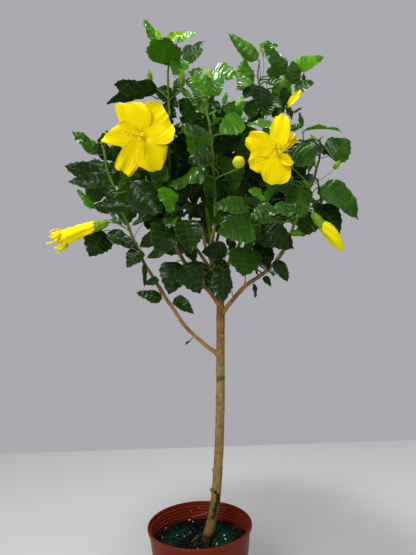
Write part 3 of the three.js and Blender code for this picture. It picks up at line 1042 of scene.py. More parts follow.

# Leaves that mark the outline and the front of the head, by the mass that they grow in: shares of its
# box for the foot and the tip of the blade, the way that the upper side looks, breadth and tone. The
# tone is partly the leaf's own green and partly painted shade on leaves in shadow and painted light on
# lit ones.
MARKED_LEAVES = {
    "foliage_top_left": (
        ((0.22, 0.35, 0.53), (-0.01, 0.20, 0.91), GLARE, 0.44, 2),
        ((0.32, 0.35, 0.15), (0.36, -0.70, 0.24), (0.0, 0.25, 0.97), 0.92, 2),
        ((0.62, 0.50, 0.30), (0.98, 0.35, 0.40), (0.1, -0.95, 0.0), 0.85, 1),
        ((0.54, 0.40, 0.56), (0.90, 0.40, 0.72), GLARE, 0.42, 3),
        ((0.37, 0.30, 0.56), (0.66, 0.25, 0.68), (0.2, -0.9, 0.1), 0.50, 4),
        ((0.26, 0.30, 0.56), (0.19, 0.20, 0.76), (0.3, -0.9, 0.2), 0.55, 4),
        ((0.81, 0.80, 0.55), (1.00, 0.75, 0.69), (-0.3, -0.95, 0.0), 0.60, 1),
        ((0.64, 0.30, 0.22), (0.46, 0.10, -0.12), (0.1, -0.94, 0.3), 0.80, 2),
        ((0.77, 0.45, 0.00), (0.99, 0.45, 0.07), GLARE, 0.80, 2),
        ((0.57, 0.40, -0.22), (0.83, 0.30, -0.53), (0.3, -0.9, 0.0), 0.30, 2),
        ((0.59, 0.50, -0.05), (0.46, 0.45, -0.41), GLARE, 0.50, 1),
        ((0.71, 0.55, -0.02), (0.87, 0.50, -0.39), GLARE, 0.55, 2),
    ),
    "foliage_upper_left": (
        ((0.82, 0.40, 0.62), (-0.02, 0.30, 0.16), (0.1, 0.25, 0.96), 0.46, 0),
        ((0.62, 0.55, 0.60), (0.06, 0.50, 0.84), (0.1, 0.25, 0.96), 0.72, 0),
        ((0.81, 0.60, 0.76), (1.15, 0.55, 0.13), (0.3, -0.9, -0.2), 0.55, 0),
    ),
    "foliage_top_centre": (
        ((0.49, 0.30, 0.23), (0.02, 0.20, 0.78), (0.4, -0.85, -0.2), 0.60, 2),
        ((0.50, 0.30, 0.23), (0.73, 0.15, 0.64), (-0.5, -0.8, -0.2), 0.70, 2),
        ((0.50, 0.40, 0.92), (1.02, 0.30, 0.66), GLARE, 0.92, 2),
        ((0.09, 0.50, 0.42), (0.22, 0.45, -0.04), GLARE, 0.60, 1),
        ((0.40, 0.55, 0.33), (0.36, 0.50, -0.14), GLARE, 0.55, 1),
        ((0.52, 0.55, 0.24), (0.63, 0.50, -0.14), (0.1, -0.94, 0.33), 0.50, 1),
        ((0.51, 0.30, 0.64), (0.32, 0.25, 0.91), (0.0, -0.9, 0.1), 0.35, 4),
        ((0.69, 0.20, -0.04), (0.77, 0.20, 0.26), (0.2, -0.9, 0.0), 0.40, 2),
        ((0.93, 0.20, -0.09), (1.10, 0.20, 0.17), (-0.2, -0.9, 0.2), 0.40, 3),
    ),
    "foliage_left_top": (
        ((0.48, 0.50, -0.04), (0.02, 0.40, 0.82), (0.5, -0.8, 0.1), 0.46, 1),
        ((0.97, 0.70, 0.20), (0.60, 0.60, -0.12), (0.3, -0.9, -0.2), 0.80, 0),
        ((0.65, 0.60, -0.23), (0.53, 0.50, 0.60), (0.3, -0.9, -0.2), 0.55, 0),
        ((0.65, 0.50, 0.38), (0.68, 0.50, 0.86), (0.2, -0.9, 0.2), 0.85, 1),
    ),
    "foliage_left": (
        ((0.63, 0.45, 0.31), (0.06, 0.35, 0.56), (0.3, -0.85, -0.3), 0.56, 0),
        ((0.78, 0.40, 0.10), (0.12, 0.35, 0.08), (0.3, -0.8, 0.0), 0.45, 0),
        ((0.87, 0.60, 0.73), (0.80, 0.50, 0.31), (0.3, -0.9, 0.0), 0.70, 0),
    ),
    "foliage_left_mid": (
        ((0.32, 0.50, 0.28), (0.05, 0.45, 0.88), (0.6, -0.7, 0.3), 0.42, 2),
        ((0.32, 0.40, 0.36), (0.95, 0.35, 0.26), (0.3, -0.8, 0.2), 0.34, 0),
        ((0.52, 0.40, 0.95), (0.69, 0.35, 0.49), (0.3, -0.9, 0.0), 0.60, 0),
    ),
    "foliage_left_bottom": (
        ((0.60, 0.60, 0.84), (0.45, 0.45, 0.26), (0.3, -0.9, -0.2), 1.0, 0),
        ((0.66, 0.50, 0.78), (1.00, 0.40, 0.38), (0.4, -0.8, 0.1), 0.50, 0),
        ((0.87, 0.30, 0.95), (0.69, 0.25, 1.00), (0.2, -0.7, 0.7), 0.36, 1),
        ((1.15, 0.30, 1.12), (0.95, 0.30, 0.87), (0.2, -0.8, 0.4), 0.36, 1),
        ((1.04, 0.50, 0.38), (0.88, 0.45, 0.00), (-0.3, -0.9, 0.1), 0.90, 0),
    ),
    "foliage_low_left": (
        ((0.96, 0.50, 0.14), (0.10, 0.40, 0.38), (0.0, -0.8, 0.5), 0.54, 0),
        ((0.41, 0.40, 1.36), (0.39, 0.40, 0.52), (0.5, -0.8, 0.0), 0.24, 0),
        ((0.87, 0.40, 0.81), (0.39, 0.40, 0.65), (0.2, -0.9, 0.0), 0.60, 0),
    ),
    "foliage_low_inner": (
        ((0.45, 0.50, 0.66), (1.08, 0.40, 0.05), (0.4, -0.8, 0.0), 0.58, 0),
    ),
    "foliage_under_left": (
        ((0.85, 0.50, 0.94), (0.95, 0.45, 0.58), (0.2, -0.9, 0.0), 0.65, 0),
        ((0.50, 0.30, 0.60), (0.28, 0.25, -0.12), (0.2, -0.9, 0.0), 0.88, 0),
        ((0.68, 0.25, 0.54), (1.08, 0.20, -0.13), (0.3, -0.9, -0.1), 0.88, 0),
        ((1.19, 0.60, 0.59), (1.00, 0.55, 0.20), (0.3, -0.9, 0.0), 0.75, 0),
    ),
    "foliage_fork": (
        ((-0.07, 0.60, 0.75), (0.17, 0.55, 0.17), (0.3, -0.9, 0.0), 0.56, 0),
        ((0.47, 0.15, 0.68), (0.46, 0.08, -0.01), (0.3, -0.9, 0.0), 0.76, 0),
        ((0.67, 0.60, 1.21), (-0.20, 0.50, 1.15), (0.2, -0.9, -0.2), 0.70, 0),
        ((0.20, 0.90, 0.95), (0.75, 0.90, 0.60), (0.3, -0.9, -0.2), 0.80, 0),
    ),
    "foliage_front_low": (
        ((0.32, 0.50, 0.05), (0.06, 0.45, -0.10), (0.3, -0.9, 0.0), 0.60, 0),
        ((0.42, 0.20, 0.50), (0.27, 0.05, -0.14), (0.2, -0.9, -0.1), 0.90, 0),
        ((0.70, 0.15, 0.58), (0.78, 0.02, -0.10), (0.3, -0.9, 0.0), 0.86, 0),
    ),
    "foliage_front_left": (
        ((0.25, 0.35, 0.63), (0.77, 0.30, 0.03), (0.3, -0.9, -0.2), 0.72, 0),
    ),
    "foliage_top_right_inner": (
        ((0.72, 0.40, 0.48), (-0.01, 0.35, 0.95), (-0.4, -0.9, 0.0), 0.36, 2),
        ((0.42, 0.60, 0.08), (0.38, 0.55, 0.56), (0.1, -0.95, -0.2), 0.70, 2),
        ((0.60, 0.30, 0.02), (0.30, 0.25, -0.24), (0.1, -0.94, 0.0), 0.80, 1),
        ((0.46, 0.20, 0.10), (0.13, 0.15, -0.14), GLARE, 0.74, 2),
    ),
    "foliage_middle_left": (
        ((0.42, 0.45, 0.98), (0.67, 0.40, 0.79), (0.3, -0.9, -0.2), 0.80, 0),
    ),
    "foliage_top_right": (
        ((0.43, 0.40, 0.07), (0.10, 0.35, 0.79), (0.4, -0.9, 0.1), 0.58, 1),
        ((0.53, 0.40, 0.22), (0.97, 0.35, 0.42), (-0.1, -0.9, -0.3), 0.46, 3),
        ((0.07, 0.25, 0.42), (0.01, 0.20, 0.70), (0.6, -0.6, 0.3), 0.50, 4),
        ((0.05, 0.42, 0.70), (0.31, 0.42, 0.77), (0.0, -0.9, 0.2), 0.66, 2),
        ((0.49, 0.40, -0.21), (0.52, 0.35, 0.36), (0.2, -0.9, 0.0), 0.66, 1),
        ((0.16, 0.35, -0.06), (0.33, 0.30, 0.21), (0.3, -0.9, -0.2), 0.90, 1),
    ),
    "foliage_right_shoulder": (
        ((0.63, 0.40, 0.57), (0.93, 0.30, 0.73), (-0.1, -0.94, 0.3), 0.70, 1),
        ((0.05, 0.05, 0.55), (0.02, 0.00, -0.06), (0.35, -0.85, -0.4), 0.82, 0),
        ((0.48, 0.20, 0.55), (0.36, 0.10, 0.10), (0.3, -0.9, -0.3), 0.80, 0),
        ((0.17, 0.35, 0.81), (0.45, 0.30, 0.57), GLARE, 0.62, 1),
        ((0.32, 0.40, 0.57), (0.22, 0.35, 0.25), GLARE, 0.60, 1),
        ((0.77, 0.40, 0.79), (0.79, 0.40, 1.02), (0.3, -0.9, 0.0), 0.45, 0),
        ((-0.18, 0.30, 0.03), (-0.02, 0.25, 0.38), (0.3, -0.9, -0.1), 0.80, 1),
        ((0.10, 0.30, 0.03), (0.30, 0.25, 0.32), GLARE, 0.70, 1),
        ((0.50, 0.40, 0.27), (0.55, 0.35, -0.07), (0.3, -0.9, -0.2), 0.50, 0),
        ((0.24, 0.45, 0.06), (0.46, 0.40, 0.22), (0.2, -0.9, 0.0), 0.66, 1),
        ((0.07, 0.45, 0.19), (-0.18, 0.40, -0.10), (0.2, -0.9, 0.0), 0.60, 0),
        ((0.57, 0.30, 0.06), (0.73, 0.30, 0.18), (0.0, -0.8, 0.6), 0.36, 0),
    ),
    "foliage_front_top": (
        ((0.98, 0.12, 0.32), (0.66, 0.05, 0.04), (0.3, -0.9, 0.2), 0.80, 2),
    ),
    "foliage_middle_right": (
        ((0.63, 0.10, 0.63), (0.23, 0.05, 0.62), (0.0, -0.8, 0.5), 0.50, 2),
    ),
    "foliage_right_inner": (
        ((0.54, 0.25, 1.17), (0.88, 0.20, 0.80), (0.1, -0.95, 0.0), 0.95, 1),
    ),
    "foliage_right_upper": (
        ((0.24, 0.40, 0.64), (0.86, 0.35, 0.58), (0.0, -0.35, 0.9), 0.36, 3),
        ((0.18, 0.30, 0.69), (0.14, 0.25, 0.92), (0.2, -0.9, 0.1), 0.42, 1),
        ((-0.05, 0.30, 0.64), (0.22, 0.25, 0.69), (0.2, -0.9, 0.1), 0.45, 1),
        ((0.64, 0.45, 0.18), (1.02, 0.40, 0.42), (-0.2, -0.95, 0.0), 1.10, 1),
    ),
    "foliage_right": (
        ((0.29, 0.30, 0.90), (0.95, 0.25, 0.44), (0.3, -0.85, 0.3), 0.70, 1),
        ((0.36, 0.60, 0.70), (0.68, 0.55, 0.26), (0.1, -0.9, 0.2), 0.80, 0),
        ((0.24, 0.60, 0.58), (-0.10, 0.55, 0.27), (0.2, -0.9, 0.0), 0.80, 0),
    ),
    "foliage_front": (
        ((0.47, 0.25, 0.90), (0.37, 0.15, 0.60), (0.35, -0.85, -0.3), 0.92, 1),
        ((0.56, 0.20, 0.59), (0.27, 0.12, 0.46), (0.3, -0.85, 0.3), 0.72, 0),
    ),
    "foliage_front_right": (
        ((0.99, 0.15, 0.36), (0.56, 0.05, 0.28), (0.0, -0.75, 0.6), 0.55, 1),
        ((0.47, 0.50, 0.85), (0.63, 0.45, 0.58), (0.3, -0.8, 0.5), 0.75, 2),
        ((0.48, 0.20, 0.12), (0.04, 0.10, 0.00), (0.2, -0.9, 0.1), 0.95, 1),
        ((0.39, 0.15, 0.44), (-0.01, 0.05, 0.43), (0.3, -0.85, 0.2), 0.56, 1),
        ((0.72, 0.08, 0.36), (0.42, 0.05, 0.21), (0.2, -0.9, 0.3), 0.80, 1),
        ((1.10, 0.10, 0.28), (0.84, 0.08, 0.40), (0.2, -0.9, 0.2), 0.70, 1),
    ),
    "foliage_under_right": (
        ((0.28, 0.20, 1.10), (0.20, 0.05, 0.46), (0.2, -0.9, 0.1), 1.15, 1),
        ((0.68, 0.40, 1.25), (0.83, 0.30, 0.61), (0.3, -0.9, 0.0), 0.75, 0),
        ((0.72, 0.30, 0.47), (0.87, 0.25, 0.24), (0.1, -0.9, 0.2), 0.60, 0),
        ((0.46, 0.30, 0.32), (0.48, 0.25, 0.00), (0.5, -0.8, 0.1), 0.36, 0),
    ),
    "foliage_right_low": (
        ((0.27, 0.30, 0.39), (0.53, 0.25, 0.03), (0.3, -0.9, 0.0), 0.60, 0),
        ((0.01, 0.30, 0.92), (0.70, 0.20, 0.56), (0.3, -0.85, 0.0), 0.85, 0),
        ((0.64, 0.20, 0.83), (0.94, 0.15, 0.79), (0.0, -0.8, 0.5), 0.70, 2),
    ),
}

# Masses whose few leaves are all marked above.
MARKED_ONLY = ("foliage_low_left", "foliage_low_inner", "foliage_upper_left", "foliage_top_left",
               "foliage_left_bottom", "foliage_under_left", "foliage_top_right", "foliage_top_right_inner")

# Gaps in the head that stay open to the viewer: node, shares of its box, and how far aside.
OPEN_SKY = (
    ("foliage_right_shoulder", (0.73, 0.30, 0.31), 14 * MM),
    ("foliage_top_centre", (0.77, 0.30, 0.38), 11 * MM),
    ("foliage_under_right", (0.68, 0.30, 0.25), 9 * MM),
    ("foliage_right", (0.90, 0.30, 0.30), 10 * MM),
)
EYE = np.array([0.0312, -0.8966, 0.5872])  # the viewer

# Shoots that show by themselves: the mass and the shares of its box where each ends.
MARKED_SHOOTS = (
    ("foliage_top_right_inner", (0.76, 0.35, 0.46)),
    ("foliage_top_right", (0.46, 0.35, 0.14)),
    ("foliage_top_right", (0.36, 0.35, 0.00)),
    ("foliage_top_centre", (0.20, 0.40, 0.30)),
    ("foliage_top_centre", (0.62, 0.50, 0.10)),
)


def marked_leaves(random, foliage):
    """Adds the marked leaves, each on an arc from its foot to its tip, and one shoot for each mass
    that bears some. Gives the middle and the tip of every blade."""
    middles, tips = [], []
    for node, leaves in MARKED_LEAVES.items():
        feet = np.array([spot(node, row[0]) for row in leaves])
        goal = feet.mean(axis=0) + [0, 18 * MM, -6 * MM]
        paths = [shoot_to(goal, unit(UP + 0.4 * unit(goal - masses()[0].middle)))]
        paths += [shoot_to(spot(node, share), UP) for other, share in MARKED_SHOOTS if other == node]
        foliage.shoots.extend(paths)
        path = np.vstack(paths)
        tangent = unit(np.vstack([np.gradient(one, axis=0) for one in paths]))
        for (_, tip, upper, broad, tone), foot in zip(leaves, feet):
            tip = spot(node, tip)
            shape = leaf_shape(random, 0, tone)
            bend = 0.5 * abs(shape["droop"]) + 0.15
            chord = unit(tip - foot)
            raised = unit(np.array(upper) - chord * (chord @ np.array(upper)))
            along = chord * math.cos(bend / 2) + raised * math.sin(bend / 2)
            shape["length"] = np.linalg.norm(tip - foot) * bend / (2 * math.sin(bend / 2))
            shape.update(broad=broad, droop=bend, twist=0.3 * shape["twist"])
            step = max(0, int(np.linalg.norm(path - foot, axis=1).argmin()) - 2)
            foliage.leaf(foot, 0.0, along, raised, path[step], tangent[step], tone, marked=True, **shape)
            middles.append((foot + tip) / 2)
            tips.append(tip)
    return np.array(middles), np.array(tips)


PLACES = 16000  # random places tried for leaves on each square metre of a mass
INSET = 7 * MM  # how far under the surface of its mass a leaf stands
SPRAY_LEAVES = 3.6  # leaves at the end of one shoot, on average
HEAD_RADII = np.array([0.26, 0.2, 0.28])  # of the whole head, across, in depth and in height


def grow(chosen):
    """The seeded branching rule. Leaves are spaced out over the open surface of every mass, with one
    that ends exactly at each drawn-out tip. Neighbours form a spray on one shoot that grows from the
    nearest limb, and more leaves stand down its length, each turned on from the last by the golden
    turn. Its end carries a tuft of young leaves. Some masses hold their marked leaves alone."""
    random = np.random.default_rng(SEED)
    head = np.mean([mass.middle for mass in masses()], axis=0)
    foliage = Foliage()
    middles, marked_tips = marked_leaves(random, foliage)
    taken = list(middles)
    tip_places = [mass.tips() for mass in masses()]
    tip_places = [tips[[np.linalg.norm(marked_tips - tip, axis=1).min() > 42 * MM for tip in tips]]
                  if len(tips) else tips for tips in tip_places]
    taken += [tip - unit(tip - mass.middle) * 0.5 * chosen.length
              for mass, tips in zip(masses(), tip_places) for tip in tips]
    for mass, tips in zip(masses(), tip_places):
        if mass.name in MARKED_ONLY:
            continue
        places, out = scattered(random, mass, PLACES)
        places = places - INSET * out
        keep = spaced(places, taken, chosen.spacing)
        places, out = places[keep], out[keep]
        taken += list(places)
        is_tip = np.concatenate([np.ones(len(tips), bool), np.zeros(len(places), bool)])
        out = np.concatenate([unit(tips - mass.middle), out])
        places = np.concatenate([tips, places])
        if len(places) == 0:
            continue
        group = grouped(places, max(1, round(len(places) / SPRAY_LEAVES)))
        for index in range(group.max() + 1):
            mine = np.flatnonzero(group == index)
            grow_spray(random, foliage, head, places[mine], out[mine], is_tip[mine], chosen)
    return foliage


def grow_spray(random, foliage, head, places, out, is_tip, chosen):
    """One shoot with the leaves that it bears: those at the surface of the head, those down its length,
    and the tuft at its end."""
    way = unit(out.mean(axis=0) + 0.6 * UP)
    goal = places.mean(axis=0) - unit(out.mean(axis=0)) * 24 * MM
    if is_tip.any():
        goal = goal - unit(out[is_tip].mean(axis=0)) * 30 * MM
    path = shoot_to(goal, way)
    foliage.shoots.append(path)
    tangent = unit(np.gradient(path, axis=0))
    outer = float(np.linalg.norm((goal - head) / HEAD_RADII))
    tone = tone_of(random, goal, min(1.2, outer))
    facing = FRONT if goal[1] < head[1] + 20 * MM else -FRONT
    order = np.argsort(np.linalg.norm(places - path[0], axis=1))
    for rank, at in enumerate(order):
        reach = 0.5 + 0.5 * (rank + 1) / len(order)
        step = min(int(reach * (len(path) - 1)), len(path) - 2)
        place, outward = places[at], out[at]
        lateral = unit(place - path[step])
        leaf_tone = int(np.clip(tone + random.choice([-1, 0, 0, 0, 1], p=[0.15, 0.25, 0.2, 0.2, 0.2]), 0, 3))
        if is_tip[at]:
            length = random.uniform(64, 86) * MM
            along = unit(outward + 0.25 * lateral + random.normal(0, 0.08, 3))
            upper = unit([0, 0, 0.75] + 0.75 * facing + random.normal(0, 0.25, 3))
            shape = leaf_shape(random, length, leaf_tone)
            shape["droop"] = abs(shape["droop"]) * 0.7
            foliage.leaf(place, 1.0, along, upper, path[step], tangent[step], leaf_tone, **shape)
            continue
        length = float(np.clip(random.normal(chosen.length, 11 * MM), 40 * MM, 92 * MM))
        hang = 0.55 - 0.7 * float(head_share(place))
        along = unit(0.8 * lateral + 0.35 * outward - [0, 0, hang] + random.normal(0, 0.3, 3))
        upper = unit(0.6 * outward + [0, 0, 0.6] + 0.35 * facing + random.normal(0, 0.3, 3))
        foliage.leaf(place, 0.5, along, upper, path[step], tangent[step], leaf_tone,
                     **leaf_shape(random, length, leaf_tone))
    # Leaves down the shoot, inside the head, are one tone darker: partly older leaves and partly painted
    # shade.
    leaves_along(random, foliage, path, tangent, facing, max(0, tone - 1))
    tuft(random, foliage, path, unit(tangent[-1] + 0.3 * way), float(head_share(goal)), tone)


def leaves_along(random, foliage, path, tangent, facing, tone):
    """Leaves down the inner half of a shoot, each turned on from the last by the golden turn. Those
    that would leave the head are left out."""
    side = unit(np.cross(tangent[0], random.normal(size=3)))
    for number in range(int(np.linalg.norm(path[0] - path[-1]) / (24 * MM))):
        reach = 0.15 + 0.45 * random.random()
        step = int(reach * (len(path) - 1))
        ahead = tangent[step]
        turn = number * GOLDEN_TURN
        lateral = unit(side * math.cos(turn) + np.cross(ahead, side) * math.sin(turn))
        stalk = random.uniform(12, 30) * MM
        base = path[step] + unit(lateral + 0.4 * ahead) * stalk
        if not in_head(base + lateral * 30 * MM):
            continue
        along = unit(lateral + 0.2 * ahead - [0, 0, 0.35] + random.normal(0, 0.2, 3))
        upper = unit(UP + 0.4 * facing + random.normal(0, 0.3, 3))
        foliage.leaf(base, 0.0, along, upper, path[step], ahead, tone,
                     **leaf_shape(random, random.uniform(46, 74) * MM, tone))


def tuft(random, foliage, path, crown, high, tone):
    """The young leaves that spread round the crown of a shoot. They are longer high in the head."""
    side = unit(np.cross(crown, random.normal(size=3)))
    for number in range(2 + (high > 0.55)):
        turn = number * GOLDEN_TURN
        lateral = side * math.cos(turn) + np.cross(crown, side) * math.sin(turn)
        along = unit(crown + 0.55 * lateral)
        length = random.uniform(14, 24 + 16 * high) * MM
        tuft_tone = min(4, tone + 1 + (number == 0) * (high > 0.4))
        shape = {**leaf_shape(random, length, 3), "fold": 0.75, "broad": 0.5}
        foliage.leaf(path[-1] + along * 3 * MM, 0.0, along, unit([0, 0, 0.4] - lateral), path[-1], crown,
                     tuft_tone, **shape)


BOX_SLACK = 5 * MM  # how far a leaf may stand past the frame's box


def placed_leaves(foliage, chosen):
    """The leaves' points in the head, the base of each and the way that it points. A leaf that would
    pass the frame's box is moved in, and leaves in front of an open flower are left out."""
    rows = foliage.rows
    table = {name: np.array([row[name] for row in rows]) for name in rows[0]}
    shape = {name: table[name] for name in BLADE_DEFAULTS if name in table}
    local = blade_shapes(len(rows), **shape, thick=chosen.thick)
    grids = turned(local, table["along"], table["upper"])
    spine = grids[:, :, 2]
    held = (table["share"] * (BLADE_ROWS - 1)).round().astype(int)
    move = table["anchor"] - spine[np.arange(len(rows)), held]
    grids = grids + move[:, None, None]
    corners = grids.reshape(len(rows), -1, 3)
    over = np.maximum((corners - (np.array(CAD_BOX[1]) + BOX_SLACK * 0.5)).max(axis=1), 0)
    short = np.maximum((np.array(CAD_BOX[0]) - BOX_SLACK - corners).max(axis=1), 0)
    grids = grids + (short - over)[:, None, None]
    corners = grids.reshape(len(rows), -1, 3)
    clear = np.ones(len(rows), dtype=bool)
    marked = table["marked"]
    marked_rooms = [(grid[BLADE_ROWS // 2, 2], FRONT, 12 * MM) for grid in grids[marked]]
    rooms = [(*room, False) for room in flower_rooms()]
    rooms += [(*room, True) for room in bloom_rooms() + stem_rooms() + sky_rooms() + marked_rooms]
    for place, axis, reach, spare_marked in rooms:
        arm = corners - place
        ahead = arm @ axis
        aside = np.linalg.norm(arm - ahead[..., None] * axis, axis=2)
        clear &= (marked & spare_marked) | ~((ahead > -6 * MM) & (aside < reach)).any(axis=1)
    table["base"] = grids[:, 0, 2]
    table = {name: values[clear] for name, values in table.items()}
    return grids[clear], table


def build_foliage():
    """Shoots, leaf stalks and the leaves of the head, dealt out by tone into joined pieces."""
    chosen = settings("leaves")
    foliage = grow(chosen)
    grids, table = placed_leaves(foliage, chosen)
    for tone, name in enumerate(TONES):
        mine = table["tone"] == tone
        leaves = Model()
        add_blades(leaves, grids[mine])
        colour = getattr(chosen, name)
        # The underside is paler: partly its own paler green and partly painted light standing in for light
        # that shines through the blade.
        pale = tuple(part + dull for part, dull in zip(rgba(colour, 1.4), (0.012, 0.02, 0.004)))
        paints = [leaf_paint(f"leaf_{name}", colour, GLOSS[tone]),
                  leaf_paint(f"leaf_{name}_under", pale, 0, under=True)]
        leaves.piece(f"leaves_{name}", paints, "leaves", MASS_NAMES if tone == 1 else ())
    bark = settings("limbs")
    skin = bark_paint("shoot_skin", bark.wood, bark.green, bark.wood)
    paths = np.array(foliage.shoots)
    fade = np.linspace(0, 1, paths.shape[1])
    shoots = Model()
    radii = np.broadcast_to(1.9 * MM - 0.8 * MM * fade, paths.shape[:2])
    youth = smooth(head_share(paths) * 1.6 + fade * 0.9, 0.25, 0.75)
    add_tubes(shoots, paths, radii, 5, youth=youth, height=0.5, stain=0, red=0)
    stalk = np.linalg.norm(table["base"] - table["root"], axis=1)[:, None]
    leave = table["root"] + unit(table["way"] * 0.6 + unit(table["base"] - table["root"])) * stalk * 0.25
    arrive = table["base"] - unit(table["along"]) * stalk * 0.2
    stalks = bowed(table["root"], leave, arrive, table["base"] + unit(table["along"]) * 1.5 * MM, 7)
    width = np.clip(table["length"] / BLADE_DEFAULTS["length"], 0.45, 1.15)[:, None] * 0.95 * MM
    share = np.linspace(0, 1, 7)
    swell = 1 + 0.45 * np.exp(-(share / 0.12) ** 2) + 0.12 * share ** 6
    add_tubes(shoots, stalks, width * swell, 5, youth=1.0, height=0.5, stain=0, red=0)
    shoots.piece("shoots", [skin], "bough")


# ---- Flowers and buds ----

# Each open flower: the node and shares of its box that place its throat, the way it faces, and its
# petals, each with its direction seen from in front (degrees anticlockwise from the right), length,
# half-width, lift of its outer part towards the viewer, fold along its middle, tilt (degrees), how
# far its end is rounded off, from 0, square, to 0.5, pointed, and how much longer its clockwise side is.
OPEN_FLOWERS = (
    {
        "at": ("foliage_middle_left", (0.24, -0.25, 0.27)),
        "face": (0.13, -0.93, -0.34),
        "column": (168, 0.6),
        "petals": (
            (110, 64, 28, 2, 6, 8, 0.0, -0.14),
            (40, 64, 38, 0, 6, 10, 0.1, -0.1),
            (-61, 67, 32, 2, 8, 10, 0.28, 0.05),
            (-121, 76, 20, 4, 10, 8, 0.0, 0.0),
            (172, 61, 22, 2, 8, 8, 0.0, -0.3),
        ),
    },
    {
        "at": ("foliage_right_inner", (0.24, -0.19, 0.91)),
        "face": (-0.16, -0.95, -0.2),
        "column": (100, 0.25),
        "petals": (
            (81, 71, 17.5, 4, 10, 8, 0.14, -0.02),
            (147, 67, 20, 6, 10, 8, 0.2, -0.02),
            (197, 56, 23, 8, 8, 12, 0.18, 0.0),
            (-97, 57, 26, 4, 6, 12, 0.12, 0.0),
            (-42, 36, 12, 34, 50, 18, 0.3, 0.0),
            (46, 46, 8, 20, 50, 10, 0.2, 0.0),
            (32, 46, 7, 20, 55, -10, 0.2, 0.0),
        ),
    },
)

# The closed blooms and one loose petal, each with the node and shares of its box for its foot and its end.
WITHERED = ("foliage_left_bottom", (0.66, 0.24, 0.93), (0.08, 0.24, 0.57))
UNOPENED = ("foliage_right", (0.19, 0.14, 0.47), (0.62, 0.14, 0.01))
OPENING = ("foliage_middle_right", (0.11, -0.28, 0.02), (0.06, -0.44, 0.00))
CAUGHT_PETAL = ("foliage_right_shoulder", (0.46, 0.25, 0.14), (0.68, 0.20, 0.45))

# The stretch of each limb that shows between the leaves, as shares of its length.
BARE_STRETCHES = {
    "bough_centre": (0.46, 0.98),
    "bough_left": (0.86, 1.0),
    "bough_low_left": (0.5, 0.8),
    "bough_right": (0.0, 0.6),
    "bough_front": (0.0, 1.0),
    "leader": (0.05, 0.3),
}


def stem_rooms():
    """The room in front of the stretches of stem that show between the leaves."""
    rooms = []
    for name, (low, high) in BARE_STRETCHES.items():
        path, _ = limbs()[name]
        part = path[int(low * len(path)):int(high * len(path)):3]
        rooms += [(place, FRONT, 7 * MM) for place in part]
    return rooms


def flower_rooms():
    """The room in front of each open flower: its throat, the way that it faces and how far aside."""
    return [(spot(*flower["at"]), unit(np.array(flower["face"])), 60 * MM) for flower in OPEN_FLOWERS]


def sky_rooms():
    """The line of sight through each open gap, from well behind the head."""
    rooms = []
    for node, share, reach in OPEN_SKY:
        sight = unit(EYE - spot(node, share))
        rooms.append((spot(node, share) - 0.4 * sight, sight, reach))
    return rooms


def bloom_rooms():
    """The room in front of each closed bloom, from a few places along it."""
    rooms = []
    for bloom in (WITHERED, UNOPENED, OPENING):
        foot, end, *_ = span(*bloom)
        rooms += [(foot + share * (end - foot), FRONT, 17 * MM) for share in np.linspace(0.1, 1, 6)]
    return rooms


def petal_shape(length, half, lift, fold, tilt, rounded, skew, thick, seed):
    """One petal as a closed thin shell, rows by columns, with x across, y outward from the throat and
    z towards the viewer. Its half-width grows smoothly until well past the middle and draws in slightly
    at the end, which is rounded by pulling its sides back by the square of their distance from the
    fold. It rises steeply from the throat, flares to nearly flat and bends back a little. Fine pleats
    fan out from the throat, and the end is ruffled."""
    rows, columns = 26, 31
    top = np.linspace(-1, 1, columns)
    across = np.concatenate([top, top[-2:0:-1]])[None, :]
    under = (np.arange(2 * columns - 2) >= columns)[None, :]
    out = np.linspace(0, 1, rows)[:, None]
    edge = np.abs(across)
    wobble = 0.02 * np.sin(4.2 * across + seed) + 0.014 * np.sin(10 * across + 2 * seed)
    reach = out * (1 - (rounded * edge ** 2 + 0.1 * edge ** 8) * out ** 2 + skew * across * out ** 2)
    reach = reach + wobble * out ** 5
    wide = half * (0.36 + 0.64 * smooth(out, -0.1, 0.6)) * (1 - 0.08 * smooth(out, 0.8, 1.0))
    x = across * wide
    climb = np.radians(68) * (1 - smooth(out, 0.02, 0.42)) + np.radians(lift) * smooth(out, 0.3, 0.8) \
        - np.radians(16) * smooth(out, 0.6, 1.0)
    step = 1 / (rows - 1)
    y = np.cumsum(np.cos(climb), axis=0) * step * (reach / np.maximum(out, 1e-6)) * length
    z = np.cumsum(np.sin(climb), axis=0) * step * length
    pleats = 0.35 * MM * np.sin(26 * across + 1.7 * np.sin(3 * across + seed)) * smooth(out, 0.1, 0.7)
    plane = np.stack(np.broadcast_arrays(across * 2.4, out * 1.2), axis=-1)
    creases = 0.4 * MM * ripple(plane, 0.8, int(seed * 10))
    ruffle = 3.4 * MM * np.sin(6.5 * across + 2.2 * seed) * smooth(out, 0.55, 1.0) * (0.35 + edge)
    z = z + pleats + creases * out + ruffle
    angle = np.radians(fold)
    z = z + edge ** 1.3 * wide * np.sin(angle)
    x = x * np.cos(angle * 0.8)
    z = z + across * wide * math.tan(math.radians(tilt)) * smooth(out, 0.1, 0.6)
    z = z - under * thick
    return np.stack([x, y, z], axis=-1), np.stack(np.broadcast_arrays(across * 0.5 + 0.5, out), axis=-1)


def add_petal(model, shape, root, out, forward, paint=0):
    """Adds a petal that grows outwards from its root and faces forward."""
    points, plane = shape
    model.shell(root + points @ np.stack([np.cross(out, forward), out, forward]), paint, map=plane)


def flower_basis(face):
    """The right, up and forward directions of a flower that faces a given way."""
    forward = unit(np.array(face, dtype=float))
    right = unit(np.cross([0, 0, 1.0], forward))
    return np.stack([right, np.cross(forward, right), forward])


def aside_of(basis, turn):
    """The direction at an angle across a flower, anticlockwise from its right as seen from in front."""
    return math.cos(turn) * basis[0] + math.sin(turn) * basis[1]


